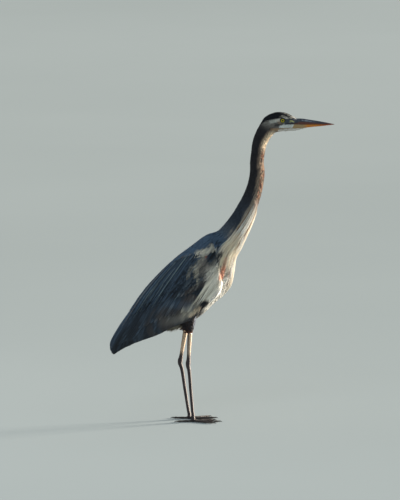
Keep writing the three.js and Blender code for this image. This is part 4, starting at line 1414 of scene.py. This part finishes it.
print("top of a toe, as light:", toe_colour(np.zeros(1), np.zeros(1))[0, 0, 0].round(3))

# %% The bare leg
TARSUS_LENGTH, ANKLE_HEIGHT = 200, 11


def bare_leg(name):
    """From the feathers of the thigh over the hock to the flat under the foot."""
    side, leg = SIDES[name], LEGS[name]
    y = side * LEG_SPACING / 2
    hock_height = ANKLE_HEIGHT + math.sqrt(TARSUS_LENGTH**2 - (leg["hock"] - leg["ankle"]) ** 2)

    def ring(end, height, share, along, across):
        """So far from the hock to the end of a bone, with its two radii."""
        return mix(leg["hock"], leg[end], share), y, mix(hock_height, height, share), along, across

    stations = [
        (leg["shin"], y, SHIN_TOP + 12, 8.6, 7.4),
        ring("shin", SHIN_TOP, 0.92, 8.2, 6.6), ring("shin", SHIN_TOP, 0.6, 7.2, 5.6),
        ring("shin", SHIN_TOP, 0.25, 6.4, 5.0), ring("shin", SHIN_TOP, 0.08, 7.4, 5.8),
        (leg["hock"] - 0.6, y, hock_height, 8.6, 6.6), (leg["hock"] - 1, y, hock_height - 11, 7.6, 5.8),
        ring("ankle", ANKLE_HEIGHT, 0.14, 6.4, 4.6), ring("ankle", ANKLE_HEIGHT, 0.5, 5.7, 4.3),
        ring("ankle", ANKLE_HEIGHT, 0.88, 5.5, 4.5), (leg["ankle"], y, ANKLE_HEIGHT + 6, 6.2, 5.7),
        (leg["ankle"], y, 6.5, 6.4, 6.6), (leg["ankle"], y, 2.2, 5.6, 6.0),
        (leg["ankle"], y, 0.6, 3.0, 3.2),
    ]
    points, distance, turns = limb(stations, 0.55, 40, plates(4.4))
    off = points[0, ..., 1] - y
    outwards = side * off / np.abs(off).max(axis=1, keepdims=True)
    return {"points": points, "colour": leg_colour(distance, turns, SHIN_TOP - hock_height, outwards)}


print("rings of a leg:", bare_leg("right")["points"].shape[1])

# %% Toes and claws
MIDDLE_TOE = 88
TOES = [(-20, 0.84, 2), (4, 1.0, 3), (29, 0.88, 3), (172, 0.6, 2)]  # turn, share, joints
CLAW = [(-3, 3.3, 1.9), (1, 3.5, 2.2), (5, 3.9, 1.9), (10, 3.3, 1.25), (15, 1.4, 0.3)]
# mm past the end of the toe, height, radius


def toe_and_claw(name, turn, share, joints):
    """A toe that swells at each joint and lies on the floor, and its hooked claw."""
    side, leg = SIDES[name], LEGS[name]
    angle, reach = math.radians(turn), MIDDLE_TOE * share

    def along(t, z, r):
        out = side * (LEG_SPACING / 2 + math.sin(angle) * reach * t)
        return leg["ankle"] + math.cos(angle) * reach * t, out, z, r, r * 1.06

    line = [along(-0.03, 5.6, 4.4), along(0.04, 5.2, 4.8)]
    for i in range(1, joints + 1):
        knuckle = i / joints
        line.append(along(knuckle - 0.5 / joints, 3.5, mix(3.7, 2.8, knuckle)))
        line.append(along(knuckle - 0.08, 3.5, mix(4.2, 3.1, knuckle)))
    line.append(along(0.99, 3.3, 2.5))
    points, distance, turns = limb(line, 0.6, 28, plates(2.9, 0.26))
    points[..., 2] = np.maximum(points[..., 2], 0.15)
    toe = {"points": points, "colour": toe_colour(distance, turns)}
    points, distance, turns = limb([along(1 + past / reach, z, r) for past, z, r in CLAW], 0.5, 20)
    tone = mix(linear(42, 36, 32), linear(20, 18, 17), smooth(distance, 4, 14)[:, None, None])
    return toe, {"points": points, "colour": tone[None]}


print("toes on a foot:", len(TOES))

# %% Scales, and the legs as pieces
wire, shader, scaly = finish("leg_scales", Roughness=0.5, Specular_IOR_Level=0.45)
cells = wire.node("ShaderNodeTexVoronoi", {"feature": "DISTANCE_TO_EDGE"}, {"Scale": 620.0})
scales = cells.smooth(0.0, 0.12)
(1 - scales * 0.9).blend(markings(wire), (0.02, 0.016, 0.016, 1.0)).feed(shader, "Base Color")
(0.62 - 0.16 * scales).feed(shader, "Roughness")
emboss(scales, shader, 0.5, 0.0004)

for name in SIDES:
    toes, claws = zip(*(toe_and_claw(name, *toe) for toe in TOES))
    piece(f"leg_{name}", tube_mesh(f"leg_{name}", [bare_leg(name), *toes]), scaly,
          (f"shin_{name}", f"tarsus_{name}", f"foot_{name}"))
    piece(f"claws_{name}", tube_mesh(f"claws_{name}", claws), horn,
          [f"claw_{name}_{k + 1}" for k in range(len(TOES))])

# %% [markdown]
# ## The coat of the trunk
# Now the feathers, family by family, from the face to the tail. The smallest are on the face.
# Each family has its own random draw with a fixed seed, so the bird is the same every time.

# %% Face and head
FACE_STATIONS = (19.3, 24.92)
EYE_OPENING = 10.2


def on_feathered_face(point):
    """False round the eye and on the bare skin between the eye and the bill."""
    x, z = point[:, 0], point[:, 2]
    eye = np.hypot(x - EYE[0], z - EYE[2]) > EYE_OPENING
    lore = (x > 322) & (z > 1050) & (z < 1067.5)
    bill_root = (x > 351 + 0.5 * (z - 1041)) & (z > 1033.5) & (z < 1060)
    gape = (x > GAPE[0] - 2) & (np.abs(z - mouth_height(x)) < 1.2)
    return (eye & ~(lore | bill_root | gape)) | (np.abs(point[:, 1]) < 6)


draw = dice("face")
roots = scatter(trunk, FACE_STATIONS, (-180, 180), 2.5, 1.75, draw)
roots = roots[on_feathered_face(trunk(roots[:, 0], roots[:, 1]))]
toward_bill = smooth(roots[:, 0], 21, 24.5)
length = mix(9.5, 5.2, toward_bill) * varied(roots, draw)
runs = lie(trunk, roots, length, 0.12)
face = feathers(trunk, roots, runs, mix(1.15, 0.9, toward_bill), sloping(-0.8, 0.4), trunk_colour, draw,
                crown=0.12, thick=0.2, bow=0.3, fringe=0.06, shade=0.12, vary=0.07)
coat("head_feathers", [face], small_feather)

# %% [markdown]
# From the throat to the root of the bill hangs a fringe of loose white feathers. They lie on a
# surface of their own, which runs on from the head under the bill, and each stands off it by its
# own amount, so the edge is soft.

# %% Fringe of the chin
chin = surface(TRUNK[-4:] + BILL[1:4])
draw = dice("chin")
count = 1300
share = draw.random(count)
turned = np.pi + np.radians(mix(42, 24, smooth(share, 0.5, 0.9))) * draw.uniform(-1, 1, count)
roots = np.stack([mix(0.3, 4.6, share), turned], axis=-1)
length = draw.uniform(7, 12, count) * (1 - 0.4 * smooth(share, 0.7, 1))
runs = lie(chin, roots, length, least=0.01)
loose = (draw.uniform(0.2, 3.0, count) * (1 - 0.5 * smooth(share, 0.7, 1)))[:, None, None]
fringe = feathers(chin, roots, runs, 0.6, sloping(-0.5, loose), all_over(WHITE), draw, rows=4,
                  outline=plume, crown=0.1, thick=0.15, bow=0.6, fringe=0.0, shade=0.05)
coat("chin_feathers", [fringe], white_down)

# %% [markdown]
# The crown ends in narrow black plumes that lie close to the head. They grow in a row over each
# eye, the longest in the middle, and stop short at the nape.

# %% Crest
draw = dice("crest")
count = 150
place_in_row = np.tile(np.linspace(0, 1, count // 2), 2)
sign = np.repeat([-1.0, 1.0], count // 2)
degrees = mix(4, 50, place_in_row) + draw.normal(size=count) * 2
station = draw.uniform(20.9, 23.2, count)
roots = np.stack([station, sign * np.radians(degrees)], axis=-1)
length = draw.uniform(20, 30, count) * mix(1.15, 0.8, place_in_row)
runs = lie(trunk, roots, length, -0.2 * place_in_row, least=19.75)
crest = feathers(trunk, roots, runs, 1.5, sloping(-0.8, 1.5), all_over(BLACK), draw, rows=7,
                 outline=plume, bow=0.8, fringe=0.05, shade=0.2)
coat("crest_plumes", [crest], plume_feather)

# %% [markdown]
# The neck is covered by small feathers that all point down it, smaller towards the head. Their
# roots stand in staggered rows like tiles, and each place in a row is a little uneven.

# %% Neck
draw = dice("neck")
roots = scatter(trunk, (9.6, 20.0), (-180, 180), 4.6, 2.7, draw)
up = smooth(roots[:, 0], 10, 19)
length = mix(18, 12, up) * varied(roots, draw)
runs = lie(trunk, roots, length, 0.1)
neck = feathers(trunk, roots, runs, mix(1.9, 1.4, up), sloping(-1.2, 1.0), trunk_colour, draw,
                bow=0.5, fringe=0.1, shade=0.15, vary=0.1)
coat("neck_feathers", [neck], small_feather)

# %% [markdown]
# On the trunk the feathers are larger. Round the sides they are firm and leaf-shaped; along the
# belly they are soft and pointed, so they take the markings all along the shaft. Where the folded
# wings cover the back, no feathers are needed.

# %% Breast, belly and flanks
BELLY_FROM = 118  # degrees from the back where the softer belly feathers begin
draw = dice("body")
roots = scatter(trunk, (0.15, 10.2), (-180, 180), 7.6, 4.7, draw)
roots = roots[np.abs(roots[:, 1]) > math.radians(62) * (1 - smooth(roots[:, 0], 6.8, 7.6))]
length = mix(40, 22, smooth(roots[:, 0], 1, 7)) * varied(roots, draw)
runs = lie(trunk, roots, length, 0.12, least=0.02)
half = mix(4.2, 3.1, smooth(roots[:, 0], 2, 8))
low = np.degrees(np.abs(roots[:, 1])) > BELLY_FROM
sides = feathers(trunk, roots[~low], runs[~low], half[~low], sloping(-1.8, 1.6), trunk_colour, draw,
                 rows=4, bow=0.8, fringe=0.12, shade=0.15, vary=0.07)
belly = feathers(trunk, roots[low], runs[low], 0.75 * half[low], sloping(-1.4, 0.9), trunk_colour, draw,
                 rows=5, outline=plume, bow=1.5, fringe=0.1, shade=0.05, vary=0.05, painted=True)
coat("body_feathers", [sides, belly], small_feather)

# %% Loose feathers under the tail
count = 900
roots = np.stack([draw.uniform(0.7, 2.6, count), np.radians(draw.uniform(128, 232, count))], axis=-1)
roots[:, 1] = (roots[:, 1] + np.pi) % (2 * np.pi) - np.pi
runs = lie(trunk, roots, draw.uniform(26, 44, count), least=0.05)
loose = draw.uniform(0, 13, (count, 1, 1)) * smooth(roots[:, 0], 0.7, 1.6)[:, None, None]
vent = feathers(trunk, roots, runs, 1.5, lambda s, a, t: mix(-1.5, loose, t**1.5), trunk_colour, draw,
                rows=7, outline=plume, bow=1.5, fringe=0.1, shade=0.1, vary=0.15)
coat("vent_feathers", [vent], small_feather)

# %% [markdown]
# ## Plumes
# Herons wear long narrow plumes at the foot of the neck and on the shoulders. They hang free over
# the breast and trail over the wings in loose layers, so each bends a little in its own way.


# %% Rows of long feathers
def tier(side, count, first, last, draw, uneven=0.05, spread=0.0):
    """Roots, runs and half widths of a row from its first to its last feather, and the depth rule:
    0 on the line of the roots and about 1 on the line of the tips. Angles are given in degrees."""
    share = np.linspace(0, 1, count) + spread * draw.normal(size=count) / count
    root = mix(np.array(first["root"], float), np.array(last["root"], float), share[:, None])
    tip = mix(np.array(first["tip"], float), np.array(last["tip"], float), share[:, None])
    tip[:, 0] += uneven * draw.normal(size=count)
    turn = np.array([1.0, math.radians(side)])
    line = (np.array(last["root"]) - first["root"]) * [1, math.radians(1)]

    def off(station, angle):
        start = np.array(first["root"]) * [1, math.radians(1)]
        return line[0] * (angle - start[1]) - line[1] * (station - start[0])

    middle = (np.array(first["tip"]) + last["tip"]) / 2
    far = off(middle[0], math.radians(middle[1]))
    return {
        "roots": root * turn, "runs": (tip - root) * turn, "half": mix(first["half"], last["half"], share),
        "depth": lambda s, a: off(s, side * a) / far,
    }


def row_lift(row, sunk, rise, settle):
    """Up from under the coat at the roots, and a little down again towards the tips."""
    def lift(s, a, t):
        up = mix(-sunk, rise, smooth(row["depth"](s, a), 0, settle))
        return up - 0.35 * rise * smooth(t, 0.75, 1)
    return lift


front_end = {"root": (1, 90), "tip": (3, 110), "half": 9}
rear_end = {"root": (2, 80), "tip": (4, 110), "half": 8}
five = tier(1, 5, front_end, rear_end, np.random.default_rng(1))
print("half widths along a row of five:", five["half"])


# %% Layers of plumes
def plume_rows(place, side, layers, count, first, last, draw, tones, rise, step, half, sunk, settle,
               bow=3.0, painted=False):
    """Layers of plumes, each a little further up the body and higher over the coat. tones gives
    the colour of each plume from the station, angle and point where it lies."""
    parts = []
    for layer in range(layers):
        share = layer / max(1, layers - 1)

        def moved(end, key):
            return [start + share * shift for start, shift in zip(end[key], end[key + "_step"])]

        ends = [{"root": moved(end, "root"), "tip": moved(end, "tip"), "half": half} for end in (first, last)]
        row = tier(side, count, *ends, draw, uneven=0.22, spread=1.2)
        parts.append(feathers(
            place, row["roots"], row["runs"], half * draw.uniform(0.6, 1.3, count),
            row_lift(row, sunk - 1.8 * share, rise + step * share, settle), tones, draw, rows=14,
            edges=LOOSE, outline=plume, bow=bow, ragged=0.15, fringe=0.3, shade=0.2,
            vary=0.1, crown=0.5, painted=painted))
    return parts


def drawn_from(draw, colours, weights):
    """A colour rule that draws each feather's colour from a list."""
    return lambda s, a, p: np.array(colours)[draw.choice(len(colours), (len(s), 1), p=weights)]


def both_sides(place, layers, count, first, last, draw, tones, **looks):
    """The same layers on the right and on the left; tones() gives each side its colour rule."""
    return [part for side in SIDES.values()
            for part in plume_rows(place, side, layers, count, first, last, draw, tones(), **looks)]


two_tones = drawn_from(np.random.default_rng(1), [WHITE, NECK_DARK], [0.5, 0.5])
print("two plumes of a mixed row:", two_tones(np.zeros(2), 0, 0)[:, 0].round(2))

# %% Breast plumes, in a fan from the front of the neck
def plume_tone(draw):
    """White in front; pale grey and dark plumes among each other further back."""
    mixed = drawn_from(draw, [WHITE, PALE_GREY, TAUPE, NECK_DARK, BUFF], [0.42, 0.26, 0.11, 0.17, 0.04])

    def tone(station, angle, point):
        degrees = np.degrees(np.abs(angle))
        pale = mix(WHITE, CREAM, draw.random((len(station), 1, 1)))
        base = mixed(station, angle, point)
        in_front = smooth(degrees, 144, 162)[..., None] * (draw.random((len(station), 1, 1)) > 0.1)
        base = mix(base, pale, in_front)
        # painted light: warm white that brightens the front of the lower neck plumes as if in sun
        base = stroke(base, point, (152, 652), (140, 596), 16, WARM_PAINTED_LIGHT, 0.6)
        base = stroke(base, point, (124, 628), (118, 560), 20, WARM_PAINTED_LIGHT, 0.6)
        start = draw.uniform(-0.9, 0.9, (len(station), 1))
        from_neck = smooth(station + start, 10.6, 12.6)[..., None]
        base = mix(base, neck_colour(station, degrees, point), from_neck)
        return paint(base, point, [DARK_FRONT, *RUST_MARKS_AND_PAINTED_LIGHT, *BELLY_EDGE])
    return tone


draw = dice("breast")
parts = both_sides(
    trunk, 9, 36,
    {"root": (9.2, 177), "root_step": (2.8, 0), "tip": (5.0, 176), "tip_step": (3.8, 0)},
    {"root": (9.4, 84), "root_step": (3.6, 36), "tip": (6.7, 80), "tip_step": (2.8, 6)},
    draw, lambda: plume_tone(draw), rise=2.2, step=3.0, half=1.7, sunk=3, settle=0.2, bow=1.5,
    painted=True)
coat("breast_plumes", parts, plume_feather)

# %% [markdown]
# ## The wings
# A folded wing is a stack of tiers. The flight feathers lie lowest, with their edges fanned along
# the lower rim. Over their roots lie the greater coverts, over those the median ones, then many
# small coverts up to the shoulder, and the scapular plumes cover it all from above.

# %% Flight feathers and coverts
FLIGHT_TINTS = {"secondaries": 0.1, "primaries": 0.35, "wing_point": 0.35, "tertials": 0.1}
TIERS = [  # name, count, first feather, last feather, sunk, rise
    ("secondaries", 26, {"root": (1.3, 97), "tip": (3.0, 121.5), "half": 10},
     {"root": (5.4, 75), "tip": (7.0, 122.5), "half": 9}, 3.0, 0.2),
    ("primaries", 15, {"root": (5.8, 84), "tip": (7.2, 122.5), "half": 8.5},
     {"root": (6.8, 70), "tip": (8.96, 98), "half": 7.5}, 3.0, 0.4),
    ("wing_point", 7, {"root": (6.6, 66), "tip": (8.97, 94), "half": 7},
     {"root": (6.2, 36), "tip": (8.9, 52), "half": 6.5}, 3.0, 1.0),
    ("tertials", 14, {"root": (4.5, 62), "tip": (6.9, 104), "half": 9},
     {"root": (6.0, 24), "tip": (8.8, 44), "half": 7}, 3.0, 2.0),
    ("inner_tertials", 7, {"root": (5.8, 26), "tip": (8.8, 42), "half": 7},
     {"root": (4.4, 7), "tip": (8.3, 9), "half": 7}, 3.0, 2.4),
    ("greater_coverts", 26, {"root": (0.85, 84), "tip": (2.3, 116), "half": 7.5},
     {"root": (4.1, 44), "tip": (6.1, 84), "half": 7}, 3.4, 1.1),
    ("median_coverts", 24, {"root": (0.5, 70), "tip": (1.5, 97), "half": 7},
     {"root": (3.0, 40), "tip": (4.6, 68), "half": 6.5}, 3.4, 2.0),
]
TILT, TILT_WIDTH = 0.8, 12  # how high an edge is tilted, and how far from the shaft, in mm
MM_PER_RADIAN, MM_PER_STATION = 60, 8  # rough sizes of a step on the wing
UNEVEN = {"greater_coverts": 0.14, "median_coverts": 0.14}  # how far the tips stray, in stations
print("tiers:", [name for name, *_ in TIERS])


# %% The lift and the colour of a tier, and the wing
def tier_colour(name):
    """The wing's own markings, darker on the flight feathers."""
    tint = FLIGHT_TINTS.get(name, 0.0)
    return lambda s, a, p: mix(cloak_colour(s, a, p), BLACK, tint)


def tilted(row, sunk, rise):
    """The lift of a row whose feathers are tilted, the edge that lies further round the higher one."""
    root, run = row["roots"][:, None, None], row["runs"][:, None, None]

    def lift(s, a, t):
        round_ = (a - root[..., 1] - run[..., 1] * t) * np.sign(run[..., 1])
        sideways = round_ * MM_PER_RADIAN - (s - root[..., 0] - run[..., 0] * t) * MM_PER_STATION
        edge = np.clip(sideways / TILT_WIDTH, -1, 1)
        return mix(-sunk, rise, smooth(row["depth"](s, a), 0, 0.9)) + TILT * edge
    return lift


def wing_rows(side, draw):
    parts = []
    for name, count, first, last, sunk, rise in TIERS:
        row = tier(side, count, first, last, draw, uneven=UNEVEN.get(name, 0.035))
        parts.append(feathers(
            cloak, row["roots"], row["runs"], row["half"], tilted(row, sunk, rise), tier_colour(name),
            draw, rows=20, edges=WIDE, outline=blade, crown=0.5, thick=0.5, ragged=0.05, fringe=0.25,
            shade=0.1, vary=0.07, painted=True))
    return parts


for name, side in SIDES.items():
    draw = dice("flight", side + 1)
    coat(f"flight_feathers_{name}", wing_rows(side, draw), long_feather)

# %% [markdown]
# Over the roots of the coverts, on the shoulder and down the mantle, lie many small feathers. They
# are longer on the mantle, and they are scattered like those of the trunk, but on the cloak. There
# the stations run from front to back, so a feather's run is towards higher stations.

# %% Small coverts and mantle feathers
COVER_LIMIT = [(0, 121), (1.6, 121), (2.3, 84), (3.4, 60), (4.6, 48), (5.6, 30)]  # station, degrees
draw = dice("shoulder")
roots = scatter(cloak, (0.08, 5.6), (-118, 118), 7.6, 4.8, draw)
turn = np.degrees(np.abs(roots[:, 1]))
near = turn < np.interp(roots[:, 0], *zip(*COVER_LIMIT))
roots, turn = roots[near], turn[near]
length = mix(22, 34, smooth(roots[:, 0], 0.5, 4.5)) * varied(roots, draw)
runs = lie(cloak, roots, -length)
down = lie(cloak, roots, 0.3 * length, 1.5)[:, 1]
runs[:, 1] = np.where(roots[:, 1] < 0, -1, 1) * np.abs(down)
front = smooth(roots[:, 0], 0, 0.8)
end = (mix(0.5, 4.2, front) * mix(1, 0.6, smooth(turn, 88, 118)))[:, None, None]
small = feathers(cloak, roots, runs, mix(3.3, 4.8, smooth(roots[:, 0], 0.5, 4)), sloping(end - 2.6, end),
                 cloak_colour, draw, rows=5, bow=0.8, fringe=0.12, shade=0.12, vary=0.06)
coat("shoulder_feathers", [small], small_feather)

# %% [markdown]
# Below the bend of the wing a pale loose fan spreads over the flank, and long scapular plumes
# trail from the shoulders over the folded wing. Both are layers of plumes on the cloak.

# %% Side plumes
draw = dice("side")
parts = both_sides(
    cloak, 5, 20,
    {"root": (0.12, 119), "root_step": (0.5, -2), "tip": (1.5, 121), "tip_step": (0.7, 0)},
    {"root": (0.1, 88), "root_step": (0.6, -4), "tip": (1.9, 106), "tip_step": (0.7, -6)},
    draw, lambda: fan_colour, rise=4.0, step=1.6, half=3.0, sunk=4.5, settle=0.3, bow=2.0, painted=True)
coat("side_plumes", parts, plume_feather)

# %% Scapular plumes
SCAPULAR_TONES = [BLUE_SLATE, TEAL_GREY, SLATE, DARK_SLATE, TAUPE]
draw = dice("scapular")
parts = both_sides(
    cloak, 5, 34,
    {"root": (0.7, 34), "root_step": (1.0, -14), "tip": (3.9, 84), "tip_step": (0.9, -14)},
    {"root": (1.9, 8), "root_step": (0.5, -2), "tip": (5.0, 34), "tip_step": (1.8, 0)},
    draw, lambda: drawn_from(draw, SCAPULAR_TONES, [0.24, 0.12, 0.33, 0.27, 0.04]),
    rise=3.2, step=1.6, half=1.8, sunk=4, settle=0.28)
coat("scapular_plumes", parts, plume_feather)

# %% [markdown]
# The tail is short and square: six pairs of broad feathers, folded into a low arch. The outer ones
# lie under the inner ones and are a little shorter.

# %% Tail
TAIL_PAIRS = 6


def tail_feathers(draw):
    pair = np.repeat(np.arange(TAIL_PAIRS), 2)
    side = np.tile([-1, 1], TAIL_PAIRS)
    share = (pair + 0.5) / TAIL_PAIRS
    height = (3 - 1.1 * pair + 0.3 * side)[:, None, None]
    roots = np.stack([0 * share, side * share * TAIL_HALF * 0.45], axis=-1)
    tips = np.stack([1 - 0.05 * share**2, side * share * TAIL_HALF], axis=-1)
    return feathers(
        tail, roots, tips - roots, 6.5, lambda s, a, t: mix(0.5 * height, height, smooth(t, 0, 0.6)),
        all_over(mix(SLATE, DARK_SLATE, 0.4)), draw,
        rows=18, edges=WIDE, outline=blade, crown=0.4, thick=0.5, ragged=0.05, fringe=0.25)


coat("tail_feathers", [tail_feathers(dice("tail"))], long_feather, ("tail",))

# %% [markdown]
# The thighs are clothed in short dark feathers down to the bare shin. Behind, some stand off and
# make the soft edge that a standing heron shows there.

# %% Thighs
for name, side in SIDES.items():
    draw = dice("thigh", side + 1)
    roots = scatter(thighs[name], (0.15, 3.6), (-180, 180), 4.6, 2.8, draw)
    rear = smooth(np.cos(roots[:, 1]), 0.2, 0.9)
    length = mix(12, 20, smooth(roots[:, 0], 0.5, 3)) * varied(roots, draw)
    runs = lie(thighs[name], roots, length * (1 + 0.5 * rear), least=0.01)
    loose = (1 + rear * draw.uniform(0, 14, len(roots)))[:, None, None]
    thigh = feathers(thighs[name], roots, runs, 1.8, sloping(-1.6, loose), thigh_colour, draw,
                     bow=0.8, shade=0.15, vary=0.12)
    coat(f"thigh_feathers_{name}", [thigh], small_feather)
